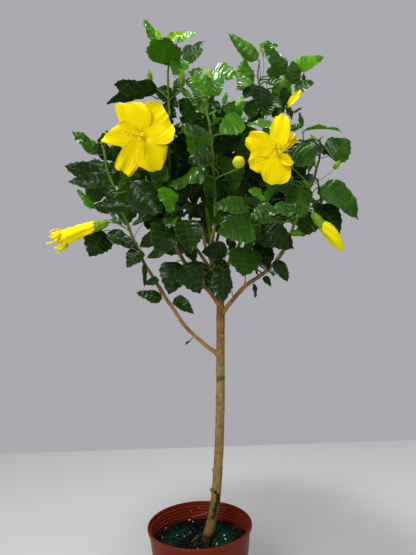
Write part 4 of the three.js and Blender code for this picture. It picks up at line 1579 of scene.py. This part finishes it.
def petal_paint(name, petal, fold, veined=0.06):
    """A petal: clear yellow, deeper at the throat and along the fine veins that fan out from it."""
    paint = Paint(name, specular_ior_level=0.05)
    across, out = paint.across()
    fan = paint.noise(1.6 * MM, detail=2)
    lines = abs((across * 16 + fan * 0.5).part() - 0.5).step(0.25, 0.5)
    throat = 1 - (out + fan * 0.08).step(0.1, 0.2)
    flecks = (1 - (out + abs(across - 0.5) * 0.3).step(0.2, 0.26)) * paint.noise(4 * MM).step(0.56, 0.62)
    skin = paint.mix(paint.noise(12 * MM).step(0.3, 0.75), rgba(petal, 0.96), rgba(petal))
    skin = paint.mix(lines * veined, skin, rgba(fold))
    skin = paint.mix(throat * 0.45, skin, rgba(fold, 0.9))
    skin = paint.mix(flecks * 0.7, skin, rgba((0.42, 0.13, 0.01)))
    rough = 0.45 + fan * 0.15
    return paint.feed(base_color=skin, roughness=rough, normal=paint.bump(lines + fan * 0.6, 0.35 * MM, 0.6))


def green_paint(name, colour):
    """The smooth skin of a calyx, a bract or a flower's stalk."""
    return mottled(name, (rgba(colour, 0.75), rgba(colour, 1.2)), 3 * MM, 0.42, 0.3 * MM, 0.5,
                   scale=(1, 1, 0.4))


def lathe_along(start, end, bow, radii, sides, lobes=0, depth=0.0, twist=0.0):
    """A body of round section from start to end, bowed sideways by a vector, whose radius follows the
    given radii smoothly. Lobes press a star into its section, turned on by twist along its length."""
    rows = 34
    share = np.linspace(0, 1, rows)
    path = start + share[:, None] * (end - start) + np.sin(math.pi * share)[:, None] * bow
    round_out = eased(stretched(radii, rows)[:, None], 3)
    star = np.sin(lobes * turns(sides) + twist * share[:, None]) * smooth(share, 0.0, 0.3)[:, None]
    return tubes(path[None], (round_out * (1 + depth * star))[None], sides)


def crumpled(grid, depth, size, seed):
    """A body's points moved out from its middle line, or in, by a random field of the given size."""
    out = unit(grid - grid.mean(axis=2, keepdims=True))
    return grid + out * (depth * ripple(grid, size, seed))[..., None]


def add_lathe(model, grid, paint=0):
    """Adds a body made by lathe_along, closed at its ends."""
    rows, sides = grid.shape[1:3]
    around = np.abs(np.linspace(-1, 1, sides))
    out = 0.3 + 0.7 * np.linspace(0, 1, rows)[:, None]
    model.shell(grid, paint, map=np.stack(np.broadcast_arrays(around, out), axis=-1))


def add_calyx(model, base, way, size, open_out=0.35, cup=0.5, spread=0.95):
    """A calyx: a small cup with five pointed lobes, and seven narrower bracts round its foot that
    spread out."""
    basis = flower_basis(way)
    for count, length, broad, lean, back in ((5, 1.0, 0.5, open_out, 0.0), (7, 0.62, 0.2, spread, 0.1)):
        turn = turns(count)[:, None]
        lateral = np.cos(turn) * basis[0] + np.sin(turn) * basis[1]
        shapes = blade_shapes(count, length=size * length, broad=broad, tooth=0, quilt=0.0, fold=0.3,
                              curl=0.0, droop=-0.5, thick=0.5 * MM, waist=0.38)
        along = unit(basis[2] + lean * lateral)
        grids = turned(shapes, along, -lateral)
        grids = grids + (base + lateral * size * 0.14 - basis[2] * size * back)[:, None, None]
        add_blades(model, grids, dark_side=0)
    body = lathe_along(base - basis[2] * size * 0.24, base + basis[2] * size * cup, 0,
                       np.array([0.04, 0.1, 0.17, 0.23, 0.27, 0.28]) * size, 16, lobes=5, depth=0.08)
    add_lathe(model, body)


def stalk_to(model, end, way, source, radius, arch=0.4):
    """A flower's stalk: a bowed tube from its source to the calyx, swollen at the joint below it. arch
    is how far back it already points along the flower's way."""
    far = np.linalg.norm(end - source)
    path = bowed([source], [source + unit(end - source + [0, 0, far * 0.6]) * far * 0.3],
                 [end - way * far * arch], [end], 12)
    share = np.linspace(0, 1, 12)
    radii = radius * (1 - 0.25 * share + 0.35 * np.exp(-((share - 0.7) / 0.05) ** 2))
    model.shell(tubes(path, radii[None], 8), map=np.zeros(2))


def nearest_limb(place):
    """The point of the nearest limb, a little below a place."""
    points = np.vstack([path for path, _ in limbs().values()])
    cost = np.linalg.norm(points - place, axis=1) + np.maximum(points[:, 2] - place[2] + 15 * MM, 0)
    return points[cost.argmin()]


def build_flowers():
    """The two open flowers: petals, the column with its anthers and stigmas, calyx and stalk."""
    chosen = settings("flowers")
    petals, column, green = Model(), Model(), Model()
    for number, flower in enumerate(OPEN_FLOWERS):
        throat = spot(*flower["at"])
        basis = flower_basis(flower["face"])
        for index, (turn, length, half, lift, fold, tilt, rounded, skew) in enumerate(flower["petals"]):
            shape = petal_shape(length * MM, half * MM, lift, fold, tilt, rounded, skew, chosen.thick,
                                3.7 * index + number)
            out = aside_of(basis, math.radians(turn))
            root = throat + out * 1.5 * MM + basis[2] * (0.5 * index - 24) * MM
            add_petal(petals, shape, root, out, basis[2])
        add_column(column, throat - basis[2] * 15 * MM, basis, *flower["column"], seed=number)
        add_lathe(column, lathe_along(throat - basis[2] * 25 * MM, throat - basis[2] * 7 * MM, 0,
                                      np.array([3.0, 9.0, 9.5, 8.0, 4.0]) * MM, 18))
        back = throat - basis[2] * 26 * MM
        add_calyx(green, back - basis[2] * 6 * MM, flower["face"], 20 * MM, open_out=0.5, cup=0.2)
        stalk_to(green, back - basis[2] * 8 * MM, basis[2], nearest_limb(back), 1.5 * MM)
    petals.piece("petals", [petal_paint("petal", chosen.petal, chosen.fold)], "leaves")
    column.piece("flower_columns", [petal_paint("column", (0.93, 0.76, 0.01), (0.85, 0.55, 0.01)),
                                    petal_paint("anther", (0.93, 0.72, 0.04), (0.8, 0.45, 0.01))], "leaves")
    green.piece("flower_calyxes", [green_paint("calyx", chosen.calyx)], "leaves")


GOLDEN = (1 + math.sqrt(5)) / 2
BALL_CORNERS = unit(np.array([
    (-1, GOLDEN, 0), (1, GOLDEN, 0), (-1, -GOLDEN, 0), (1, -GOLDEN, 0),
    (0, -1, GOLDEN), (0, 1, GOLDEN), (0, -1, -GOLDEN), (0, 1, -GOLDEN),
    (GOLDEN, 0, -1), (GOLDEN, 0, 1), (-GOLDEN, 0, -1), (-GOLDEN, 0, 1),
]))
BALL_FACES = np.array([
    (0, 11, 5), (0, 5, 1), (0, 1, 7), (0, 7, 10), (0, 10, 11), (1, 5, 9), (5, 11, 4), (11, 10, 2), (10, 7, 6),
    (7, 1, 8), (3, 9, 4), (3, 4, 2), (3, 2, 6), (3, 6, 8), (3, 8, 9), (4, 9, 5), (2, 4, 11), (6, 2, 10),
    (8, 6, 7), (9, 8, 1),
])


def add_balls(model, places, sizes, random, paint=0, **fields):
    """Adds small uneven balls: the twelve corners of an icosahedron, each drawn in or out and the whole
    turned at random, times the ball's three sizes."""
    count = len(places)
    turn = np.linalg.qr(random.normal(size=(count, 3, 3)))[0]
    turn = turn * np.sign(np.linalg.det(turn))[:, None, None]
    sizes = np.broadcast_to(sizes, (count, 3))[:, None]
    points = BALL_CORNERS * random.uniform(0.75, 1.2, (count, 12, 1)) * sizes
    points = np.einsum("kcv,kvw->kcw", points, turn) + places[:, None]
    faces = (np.arange(count)[:, None, None] * 12 + BALL_FACES).reshape(-1, 3)
    model.add(points, [faces], paint, **fields)


COLUMN_PLACE = np.array([0.5, 0.6])  # the place on a petal's map whose colour the column wears


def add_column(model, base, basis, turn, lean, seed):
    """The column in a flower's throat: a slim tube that bends aside, anthers on short threads round
    its outer half, and five stigmas at its end."""
    random = np.random.default_rng(seed + 40)
    aside = aside_of(basis, math.radians(turn))
    end = base + basis[2] * 46 * MM + aside * lean * 44 * MM
    arrive = end - aside * 16 * MM * lean - basis[2] * 6 * MM
    path = bowed([base], [base + basis[2] * 30 * MM], [arrive], [end], 20)
    radii = (np.linspace(2.0, 0.9, 20) + 3.2 * np.exp(-np.linspace(0, 1, 20) / 0.08))[None] * MM
    model.shell(tubes(path, radii, 9), map=COLUMN_PLACE)
    count = 46
    along = (random.uniform(0.45, 0.97, count) * 19).astype(int)
    ring = rings_along(path, 24)[0][along, random.integers(0, 24, count)]
    root = path[0][along]
    head = root + ring * random.uniform(3, 6, (count, 1)) * MM
    threads = np.stack([root, (root + head) / 2 + basis[2] * 0.6 * MM, head], axis=1)
    model.shell(tubes(threads, 0.28 * MM, 4), map=COLUMN_PLACE)
    add_balls(model, head, MM * np.array([1.25, 0.95, 0.8]), random, 1, map=COLUMN_PLACE)
    tip_way = unit(path[0][-1] - path[0][-3])
    side = unit(np.cross(tip_way, basis[1]))
    angles = turns(5)[:, None]
    spread = np.cos(angles) * side + np.sin(angles) * np.cross(tip_way, side)
    stigma = end + tip_way * 5 * MM + spread * 3.4 * MM
    arms = np.stack([end + 0 * spread, end + tip_way * 3 * MM + spread * 1.4 * MM, stigma], axis=1)
    model.shell(tubes(arms, 0.4 * MM, 5), map=COLUMN_PLACE)
    add_balls(model, stigma, 1.3 * MM, random, 1, map=COLUMN_PLACE)


# Small green flower buds: the node and shares of its box for the foot and the tip of each.
GREEN_BUDS = (
    ("foliage_upper_left", (0.70, 0.40, 0.90), (0.67, 0.40, 1.17)),
    ("foliage_right_upper", (0.68, 0.22, -0.10), (0.78, 0.20, 0.03)),
    ("foliage_top_left", (0.60, 0.20, -0.24), (0.62, 0.10, -0.02)),
    ("foliage_top_right", (0.30, 0.10, -0.40), (0.33, 0.05, -0.20)),
    ("foliage_back_top", (0.30, 0.80, 0.92), (0.28, 0.85, 1.03)),
    ("foliage_back_right", (0.88, 0.60, 0.86), (0.96, 0.62, 0.99)),
    ("foliage_back_left", (0.10, 0.70, 0.84), (0.03, 0.74, 0.96)),
    ("foliage_side_right", (0.90, 0.60, 0.62), (1.00, 0.62, 0.73)),
)


def add_green_bud(model, foot, tip, way, size):
    """A pointed green bud wrapped in its calyx, with its bracts and stalk."""
    radii = np.array([0.1, 0.2, 0.24, 0.22, 0.13, 0.02]) * size
    add_lathe(model, lathe_along(foot, tip, 0, radii, 15, 5, 0.1, 0.8))
    add_calyx(model, foot, way, size * 0.8, open_out=0.12)
    stalk_to(model, foot, way, nearest_limb(foot - way * 30 * MM), 0.8 * MM)


def build_buds():
    """The withered bloom, the two blooms still to open, a petal caught among the leaves, and the small
    green buds."""
    chosen = settings("flowers")
    yellow, green = Model(), Model()
    foot, end, way, length = span(*WITHERED)
    radii = np.array([0.05, 0.085, 0.105, 0.115, 0.12, 0.125, 0.13, 0.11, 0.06]) * length
    body = lathe_along(foot + way * 8 * MM, end - way * 6 * MM, UP * 2 * MM, radii, 60, 5, 0.1, 2.2)
    add_lathe(yellow, crumpled(body, 0.9 * MM, 13 * MM, 71))
    basis = flower_basis(way)
    for index, (lift, turn) in enumerate(((82, 0.4), (88, 1.6), (84, 3.0), (88, 4.0), (78, 5.0))):
        shape = petal_shape(30 * MM, 9 * MM, lift, 40, 12, 0.3, 0.1, chosen.thick, 5.0 + index)
        out = aside_of(basis, turn)
        add_petal(yellow, shape, end - way * 30 * MM + out * 5 * MM, out, basis[2], 2 if index % 2 else 0)
    tip = end + way * 13 * MM + UP * MM
    pistil = bowed([end - way * 8 * MM], [end], [end + way * 5 * MM], [tip], 8)
    yellow.shell(tubes(pistil, 1.5 * MM, 7), map=COLUMN_PLACE)
    add_calyx(green, foot - way * 3 * MM, way, 30 * MM, open_out=0.42, cup=0.35, spread=0.5)
    stalk_to(green, foot, way, nearest_limb(foot), 1.4 * MM)

    foot, end, way, length = span(*UNOPENED)
    radii = np.array([0.05, 0.11, 0.145, 0.155, 0.155, 0.145, 0.125, 0.09, 0.03]) * length
    bow = np.array([3 * MM, 0, 3 * MM])
    add_lathe(yellow, lathe_along(foot + way * 9 * MM, end, bow, radii, 50, 5, 0.09, 4.5), 1)
    add_calyx(green, foot - way * 6 * MM, way, 30 * MM, open_out=0.42, cup=0.36, spread=0.5)
    stalk_to(green, foot - way * 4 * MM, way, nearest_limb(foot + [0, 0, 40 * MM]), 1.3 * MM)

    foot, end, way, length = span(*OPENING)
    radii = np.array([0.2, 0.38, 0.47, 0.5, 0.48, 0.42, 0.28, 0.05]) * length
    add_lathe(yellow, lathe_along(foot, end, 0, radii, 40, 5, 0.025, 3.0), 3)
    add_calyx(green, foot, way, 20 * MM, open_out=0.25)
    stalk_to(green, foot, way, nearest_limb(foot), 1.2 * MM, arch=0.9)

    foot, _, out, length = span(*CAUGHT_PETAL)
    shape = petal_shape(length * 1.1, 8 * MM, 4, 35, 10, 0.3, 0.0, chosen.thick, 9.0)
    add_petal(yellow, shape, foot, out, unit(np.cross(np.cross(out, FRONT), out)))

    for bud in GREEN_BUDS:
        add_green_bud(green, *span(*bud))
    yellow.piece("closed_blooms", [
        petal_paint("closed_petal", (1.0, 0.84, 0.002), chosen.fold, 0.15),
        petal_paint("unopened_petal", (0.82, 0.76, 0.003), chosen.fold, 0.15),
        petal_paint("withered_petal", (0.82, 0.46, 0.006), (0.5, 0.2, 0.01), 0.3),
        petal_paint("opening_petal", (0.6, 0.62, 0.02), (0.5, 0.34, 0.01), 0.2)], "leaves")
    green.piece("green_buds", [green_paint("bud_green", rgba(chosen.calyx, 0.8))], "leaves")


# ---- Pot and soil ----

POT_SEGMENTS = 96
DRAIN_HOLES = 6
DRAIN_SPAN = (36 * MM, 64 * MM)  # the ring of the floor that the drain holes lie in
DRAIN_RADIUS = 7 * MM


def revolved(profile, segments):
    """A profile of radius and height carried round the upright axis: each point (r, z) becomes
    (r cos t, r sin t, z)."""
    turn = turns(segments)
    radius, height = np.asarray(profile).T[:, :, None]
    return np.stack(np.broadcast_arrays(radius * np.cos(turn), radius * np.sin(turn), height), axis=-1)


def pot_profile(chosen):
    """The pot's section from the drain ring under its floor, out and up its wall, over the rolled lip
    and down inside past four stiffening ribs to the drain ring on its floor."""
    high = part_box("pot")[1]
    rim, top = high[1], high[2]
    foot, lip, over = 74 * MM, 7 * MM, 2.5 * MM

    def wall(z):
        """The wall's outer radius at a height."""
        return foot + (rim - over - foot) * z / top

    outside = [(z, wall(z)) for z in np.linspace(3 * MM, top - lip, 40)]
    bands = 0.35 * MM * np.array([math.exp(-((z - top * 0.78) / (2 * MM)) ** 2) for z, _ in outside])
    points = [(DRAIN_SPAN[1], 0), (foot - 4.5 * MM, 0), (foot - 3 * MM, 0.2 * MM), (foot - 1.2 * MM, 1 * MM)]
    points += [(r + band, z) for (z, r), band in zip(outside, bands)]
    roll, half = 1.6 * MM, lip / 2
    points += [(rim - roll + roll * math.cos(t), top - half + half * math.sin(t))
               for t in np.linspace(-math.pi / 2, math.pi, 16)[:12]]
    inner = np.concatenate([np.linspace(top - 1.2 * MM, 0.8 * top, 60), np.linspace(0.78 * top, 4 * MM, 24)])
    ribs = [top * share for share in (0.945, 0.915, 0.882, 0.85)]
    for z in inner:
        inset = sum(chosen.step * math.exp(-((z - level) / (1.3 * MM)) ** 2) for level in ribs)
        points.append((wall(z) - chosen.wall + 1.2 * MM - inset, z))
    points += [(wall(0) - 4 * MM, chosen.wall + 0.4 * MM), (wall(0) - 7 * MM, chosen.wall),
               (DRAIN_SPAN[1], chosen.wall)]
    return np.array(points)


def drain_ring(chosen):
    """The ring of the floor with the drain holes: for each sixth of the ring, the surface between its
    outline and the hole's edge, above and below, and the hole's own wall."""
    arc = POT_SEGMENTS // DRAIN_HOLES
    turn = np.linspace(0, 2 * math.pi / DRAIN_HOLES, arc + 1)
    inner, outer = DRAIN_SPAN
    side = np.linspace(inner, outer, 7)[1:-1]
    outline = np.concatenate([
        np.stack([outer * np.cos(turn), outer * np.sin(turn)], axis=1),
        np.stack([side[::-1] * math.cos(turn[-1]), side[::-1] * math.sin(turn[-1])], axis=1),
        np.stack([inner * np.cos(turn[::-1]), inner * np.sin(turn[::-1])], axis=1),
        np.stack([side, np.zeros_like(side)], axis=1),
    ])
    middle = np.array([math.cos(turn[arc // 2]), math.sin(turn[arc // 2])]) * (inner + outer) / 2
    edge = middle + unit(outline - middle) * DRAIN_RADIUS
    share = np.linspace(0, 1, 4)[:, None, None]
    flat = outline + share * (edge - outline)
    above, under = (np.dstack([flat, np.full(flat.shape[:2], height)]) for height in (chosen.wall, 0.0))
    spin = np.array([[[math.cos(t), math.sin(t), 0], [-math.sin(t), math.cos(t), 0], [0, 0, 1]]
                     for t in turns(DRAIN_HOLES)])
    return np.einsum("rcv,kvw->krcw", np.concatenate([above, under[::-1]]), spin)


def pot_paint(colour):
    """Moulded satin plastic: faint flow marks, fine scuffs and a thin dusting of lime."""
    paint = Paint("pot_plastic", specular_ior_level=0.13)
    cloud = paint.noise(26 * MM, detail=4)
    scuff = paint.noise(1.1 * MM, (1, 1, 0.25), 4)
    skin = paint.mix(cloud.step(0.3, 0.7), rgba(colour, 0.82), rgba(colour, 1.12))
    dusty = rgba((colour[0] * 1.3 + 0.01, colour[1] * 1.7 + 0.01, colour[2] * 1.8 + 0.008))
    skin = paint.mix(scuff.step(0.6, 0.78) * 0.12, skin, dusty)
    rough = 0.33 + cloud * 0.16 + scuff.step(0.5, 0.8) * 0.15
    relief = paint.bump(cloud + scuff * 0.25, 0.3 * MM, 0.5)
    return paint.feed(base_color=skin, roughness=rough, normal=relief)


def build_pot():
    """The nursery pot, turned from its section, with the drain holes cut through its floor."""
    chosen = settings("pot")
    pot = Model()
    radii = (DRAIN_SPAN[0], 18 * MM, 0)
    for profile in (pot_profile(chosen), [(radius, chosen.wall) for radius in radii],
                    [(radius, 0) for radius in reversed(radii)]):
        pot.shell(revolved(profile, POT_SEGMENTS), caps=False)
    pot.shell(drain_ring(chosen), caps=False)
    pot.piece("nursery_pot", [pot_paint(chosen.colour)], "pot", ["pot"], weld=0.02 * MM)


def soil_height(x, y):
    """Height of the soil: heaped towards the stem, uneven in soft lumps, with a crumbly grain."""
    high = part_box("soil")[1]
    stem = limbs()["trunk"][0][0]
    far = np.hypot(x, y) / high[0]
    heap = np.exp(-((x - stem[0]) ** 2 + (y - stem[1]) ** 2) / (2 * (26 * MM) ** 2))
    points = np.stack([x, y], axis=-1)
    lumps = 1.5 * MM * ripple(points, 26 * MM, 61) + 0.8 * MM * ripple(points, 9 * MM, 62)
    grain = 0.55 * MM * ripple(points, 4 * MM, 63)
    return high[2] + 0.6 * MM + 1.2 * MM * heap + lumps * (1 - far ** 6) + grain - 1.0 * MM * far ** 8


def build_soil():
    """The soil as one closed body with a crumbly top, loose crumbs, white grains and tufts of moss."""
    chosen = settings("soil")
    random = np.random.default_rng(SEED + 5)
    low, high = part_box("soil")
    segments, rings = 132, 48
    foot = 71 * MM
    shares = np.linspace(1, 0.004, rings)[:, None]
    x = high[0] * shares * np.cos(turns(segments))
    y = high[0] * shares * np.sin(turns(segments))
    top = np.stack([x, y, soil_height(x, y)], axis=-1)
    side = revolved([
        (0.3 * MM, low[2]),
        (foot * 0.6, low[2]),
        (foot, low[2]),
        (foot + 0.3 * (high[0] - foot), low[2] + 0.3 * (high[2] - low[2])),
        (high[0] - 1.5 * MM, high[2] - 12 * MM),
    ], segments)
    soil = Model()
    soil.shell(np.concatenate([side, top]))
    damp = mottled("soil_mix", (rgba(chosen.colour, 0.5), rgba(chosen.colour, 2.2)), 2 * MM, 0.75, 1.2 * MM,
                   0.9, gloss=0.06, vary=0.2, low=0.35, detail=5)
    soil.piece("soil_bed", [damp], "soil", ["soil"])

    def strewn(count, centres=None, spread=0.0):
        """Places on the soil: evenly, or gathered round centres."""
        if centres is None:
            far = np.sqrt(random.uniform(0.02, 0.96, count)) * high[0]
            around = random.uniform(0, 2 * math.pi, count)
            places = np.stack([far * np.cos(around), far * np.sin(around)], axis=1)
        else:
            places = centres[random.integers(0, len(centres), count)] + random.normal(0, spread, (count, 2))
        stem = limbs()["trunk"][0][0][:2]
        clear = (np.hypot(*places.T) < high[0] - 3 * MM) & (np.hypot(*(places - stem).T) > 13 * MM)
        return places[clear]

    def lay(name, places, sizes, proud, material):
        """One piece of balls on the soil, each standing proud by a share of its height."""
        heap = Model()
        lift = soil_height(*places.T) + sizes[:, 2] * proud
        add_balls(heap, np.column_stack([places, lift]), sizes, random)
        heap.piece(name, [material], "soil", flat=True)

    paint = Paint("bark_crumbs", specular_ior_level=0.08)
    patch = paint.noise(5 * MM, detail=2)
    stops = [
        (0.38, rgba(chosen.colour, 0.4)),
        (0.5, (0.005, 0.0045, 0.0035, 1)),
        (0.6, (0.03, 0.024, 0.016, 1)),
        (0.68, (0.004, 0.007, 0.005, 1)),
    ]
    skin = paint.node("ShaderNodeValToRGB", {"stops": stops}, {"Fac": patch})
    relief = paint.bump(paint.noise(0.8 * MM), 0.3 * MM, 0.8)
    bark = paint.feed(base_color=skin, roughness=0.7 + patch * 0.2, normal=relief)
    places = strewn(chosen.crumbs)
    sizes = random.gamma(3.0, 0.5, (len(places), 1)) * MM
    sizes = sizes * random.uniform([0.9, 0.4, 0.3], [2.2, 1.0, 0.7], (len(places), 3))
    lay("soil_crumbs", places, sizes, 0.4, bark)

    centres = high[0] * np.array([
        (0.34, 0.10), (0.38, -0.14), (0.48, 0.02), (0.55, -0.12), (0.30, 0.34), (0.40, 0.20), (0.52, 0.28),
        (0.46, -0.26), (0.36, 0.50), (-0.53, 0.13), (-0.33, 0.39), (-0.66, -0.2), (0.27, -0.67),
        (-0.11, -0.78),
    ])
    places = np.concatenate([strewn(chosen.tufts, centres, 7.5 * MM), strewn(chosen.tufts // 14)])
    sizes = random.uniform(0.5, 1.5, (len(places), 1)) * MM
    sizes = sizes * random.uniform([0.8, 0.6, 0.8], [1.3, 0.9, 1.4], (len(places), 3))
    paint = Paint("moss", specular_ior_level=0.08)
    patch = paint.noise(3 * MM, detail=3)
    skin = paint.mix(patch.step(0.3, 0.7), rgba(chosen.moss, 0.45), rgba(chosen.moss, 1.5))
    relief = paint.bump(paint.noise(0.6 * MM), 0.4 * MM, 0.8)
    green = paint.feed(base_color=skin, roughness=0.8 + patch * 0.1, normal=relief)
    lay("moss_tufts", places, sizes, 0.5, green)

    places = strewn(chosen.grits)
    sizes = random.uniform(0.7, 1.9, (len(places), 1)) * MM * random.uniform(0.7, 1.2, (len(places), 3))
    paint = Paint("perlite", specular_ior_level=0.3)
    pit = paint.cells(0.7 * MM)
    skin = paint.mix(pit.step(0.1, 0.6), rgba((0.5, 0.5, 0.46)), rgba((0.78, 0.78, 0.74)))
    white = paint.feed(base_color=skin, roughness=0.85 - pit * 0.1, normal=paint.bump(pit, 0.3 * MM, 0.8))
    lay("perlite_grains", places, sizes, 0.8, white)
    build_litter(random, high)


def build_litter(random, high):
    """Bits fallen on the soil: ochre chips left of the stem, one yellow-green bit before it, and a pale
    straw and two white crumbs that stick to the pot's wall behind it."""
    stem = limbs()["trunk"][0][0]
    litter = Model()
    places = stem[:2] + random.normal([-21 * MM, -2 * MM], [5 * MM, 9 * MM], (9, 2))
    ochre = np.column_stack([places, soil_height(*places.T) + 1 * MM])
    add_balls(litter, ochre, random.uniform(0.6, 1.7, (9, 3)) * MM, random)
    bit = stem + [20 * MM, -20 * MM, 0]
    bit[2] = soil_height(bit[0], bit[1]) + 1.5 * MM
    add_balls(litter, bit[None], np.array([3.2, 1.9, 1.6]) * MM, random, 1)
    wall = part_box("pot")[1][1] - 7 * MM
    turn = np.radians([93, 103])
    crumbs = np.column_stack([wall * np.cos(turn), wall * np.sin(turn), high[2] + np.array([22, 16]) * MM])
    add_balls(litter, crumbs, 1.1 * MM, random, 2)
    start, end = ((wall - 1 * MM) * np.array([math.cos(turn), math.sin(turn), 0])
                  for turn in np.radians([102, 78]))
    straw = bowed(*([place * share + UP * (high[2] + lift * MM)] for place, share, lift in (
        (start, 1, 3), (start, 0.95, 8), (end, 0.93, 12), (end, 0.99, 17))), 14)
    litter.shell(tubes(straw, 0.25 * MM, 6), 2)
    paints = [mottled(name, (rgba(colour, 0.6), rgba(colour, 1.2)), 1.2 * MM, 0.6, 0.3 * MM, vary=0.2)
              for name, colour in (("ochre_chip", (0.42, 0.28, 0.05)), ("green_bit", (0.36, 0.42, 0.02)),
                                   ("white_crumb", (0.62, 0.6, 0.52)))]
    litter.piece("soil_litter", paints, "soil")


# ---- Stage ----

# The soft lamps: name, place, width of the square that shines, and power in watts.
LAMPS = (
    ("lamp_over", (-0.15, -0.45, 2.3), 0.34, 21),
    ("lamp_front", (-0.9, -2.1, 1.7), 1.0, 36),
    ("lamp_back", (1.0, 1.1, 2.0), 0.8, 9),
)
PITCH, ROLL = math.radians(4.35), math.radians(1.9)  # the camera looks up, and is turned clockwise


def build_stage():
    """A plain pale floor, soft light all round with three soft lamps, and the camera."""
    chosen = settings("stage")
    scene = bpy.context.scene
    centre = (np.array(CAD_BOX[0]) + np.array(CAD_BOX[1])) / 2
    tall = CAD_BOX[1][2]
    rows = 9
    x, y = np.meshgrid(np.linspace(-3, 3, rows) * tall, np.linspace(-3 * tall, 0.94 * tall, rows))
    mesh = bpy.data.meshes.new("floor")
    mesh.from_pydata(np.stack([x, y, np.zeros_like(x)], axis=-1).reshape(-1, 3), [],
                     grid_faces(1, rows, rows).tolist())
    paint = Paint("floor_paint", specular_ior_level=0.2)
    cloud = paint.noise(0.3, detail=2)
    skin = paint.mix(cloud.step(0.3, 0.7), rgba(chosen.floor, 0.99), rgba(chosen.floor, 1.01))
    mesh.materials.append(paint.feed(base_color=skin, roughness=0.75 + cloud * 0.05))
    floor = bpy.data.objects.new("floor", mesh)
    scene.collection.objects.link(floor)

    world = bpy.data.worlds.new("soft_sky")
    world.use_nodes = True
    world.node_tree.nodes["Background"].inputs["Color"].default_value = rgba(chosen.sky)
    scene.world = world

    for name, place, width, power in LAMPS:
        light = bpy.data.lights.new(name, "AREA")
        light.shape = "SQUARE"
        light.size = width
        light.energy = power
        lamp = bpy.data.objects.new(name, light)
        lamp.location = place
        aim = centre + [0, 0, 0.2] - np.array(place)
        lamp.rotation_mode = "QUATERNION"
        lamp.rotation_quaternion = Vector(aim).to_track_quat("-Z", "Y")
        scene.collection.objects.link(lamp)

    camera = bpy.data.cameras.new("camera")
    camera.sensor_width = 36
    camera.lens = chosen.focal / MM
    viewer = bpy.data.objects.new("camera", camera)
    viewer.location = EYE
    viewer.rotation_euler = (math.pi / 2 + PITCH, 0, 0)
    spun = viewer.rotation_euler.to_matrix() @ Matrix.Rotation(-ROLL, 3, "Z")
    viewer.rotation_euler = spun.to_euler()
    scene.collection.objects.link(viewer)
    scene.camera = viewer
    scene.view_settings.view_transform = "Standard"


# ---- The add-on ----

class HIBISCUS_OT_pot(bpy.types.Operator):
    """Turns the nursery pot and cuts its drain holes"""
    bl_idname = "hibiscus.pot"
    bl_label = "Pot"
    bl_options = {"REGISTER", "UNDO"}

    def execute(self, context):
        build_pot()
        return {"FINISHED"}


class HIBISCUS_OT_soil(bpy.types.Operator):
    """Fills the pot with soil, crumbs, moss and grains"""
    bl_idname = "hibiscus.soil"
    bl_label = "Soil"
    bl_options = {"REGISTER", "UNDO"}

    def execute(self, context):
        build_soil()
        return {"FINISHED"}


class HIBISCUS_OT_limbs(bpy.types.Operator):
    """Builds the stem and every bough with its bark"""
    bl_idname = "hibiscus.limbs"
    bl_label = "Stem and boughs"
    bl_options = {"REGISTER", "UNDO"}

    def execute(self, context):
        build_limbs()
        return {"FINISHED"}


class HIBISCUS_OT_foliage(bpy.types.Operator):
    """Grows shoots from the limbs and hangs the leaves on them"""
    bl_idname = "hibiscus.foliage"
    bl_label = "Shoots and leaves"
    bl_options = {"REGISTER", "UNDO"}

    def execute(self, context):
        build_foliage()
        return {"FINISHED"}


class HIBISCUS_OT_flowers(bpy.types.Operator):
    """Builds the two open flowers"""
    bl_idname = "hibiscus.flowers"
    bl_label = "Open flowers"
    bl_options = {"REGISTER", "UNDO"}

    def execute(self, context):
        build_flowers()
        return {"FINISHED"}


class HIBISCUS_OT_buds(bpy.types.Operator):
    """Builds the withered bloom, the blooms still to open and the buds"""
    bl_idname = "hibiscus.buds"
    bl_label = "Buds and closed blooms"
    bl_options = {"REGISTER", "UNDO"}

    def execute(self, context):
        build_buds()
        return {"FINISHED"}


class HIBISCUS_OT_stage(bpy.types.Operator):
    """Lays the floor and sets the light and the camera"""
    bl_idname = "hibiscus.stage"
    bl_label = "Floor, light and camera"
    bl_options = {"REGISTER", "UNDO"}

    def execute(self, context):
        build_stage()
        return {"FINISHED"}


OPERATORS = (
    HIBISCUS_OT_pot,
    HIBISCUS_OT_soil,
    HIBISCUS_OT_limbs,
    HIBISCUS_OT_foliage,
    HIBISCUS_OT_flowers,
    HIBISCUS_OT_buds,
    HIBISCUS_OT_stage,
)


class HIBISCUS_PT_panel(bpy.types.Panel):
    """Lists the settings and the steps that build the plant."""
    bl_label = "Hibiscus standard"
    bl_space_type = "VIEW_3D"
    bl_region_type = "UI"
    bl_category = "Hibiscus"

    def draw(self, context):
        for group, kind in GROUPS.items():
            box = self.layout.box()
            box.label(text=group.title())
            for name in kind.__annotations__:
                box.prop(getattr(context.scene, "hibiscus_" + group), name)
        for step in OPERATORS:
            self.layout.operator(step.bl_idname)


CLASSES = (*GROUPS.values(), *OPERATORS, HIBISCUS_PT_panel)


def register():
    """Registers the classes and gives the scene its settings."""
    for kind in CLASSES:
        bpy.utils.register_class(kind)
    for group, kind in GROUPS.items():
        setattr(bpy.types.Scene, "hibiscus_" + group, bpy.props.PointerProperty(type=kind))


def unregister():
    """Takes the settings and the classes away again."""
    for group in GROUPS:
        delattr(bpy.types.Scene, "hibiscus_" + group)
    for kind in reversed(CLASSES):
        bpy.utils.unregister_class(kind)


def main():
    """Builds everything in order."""
    register()
    for step in OPERATORS:
        family, name = step.bl_idname.split(".")
        getattr(getattr(bpy.ops, family), name)()


if __name__ == "__main__":
    main()
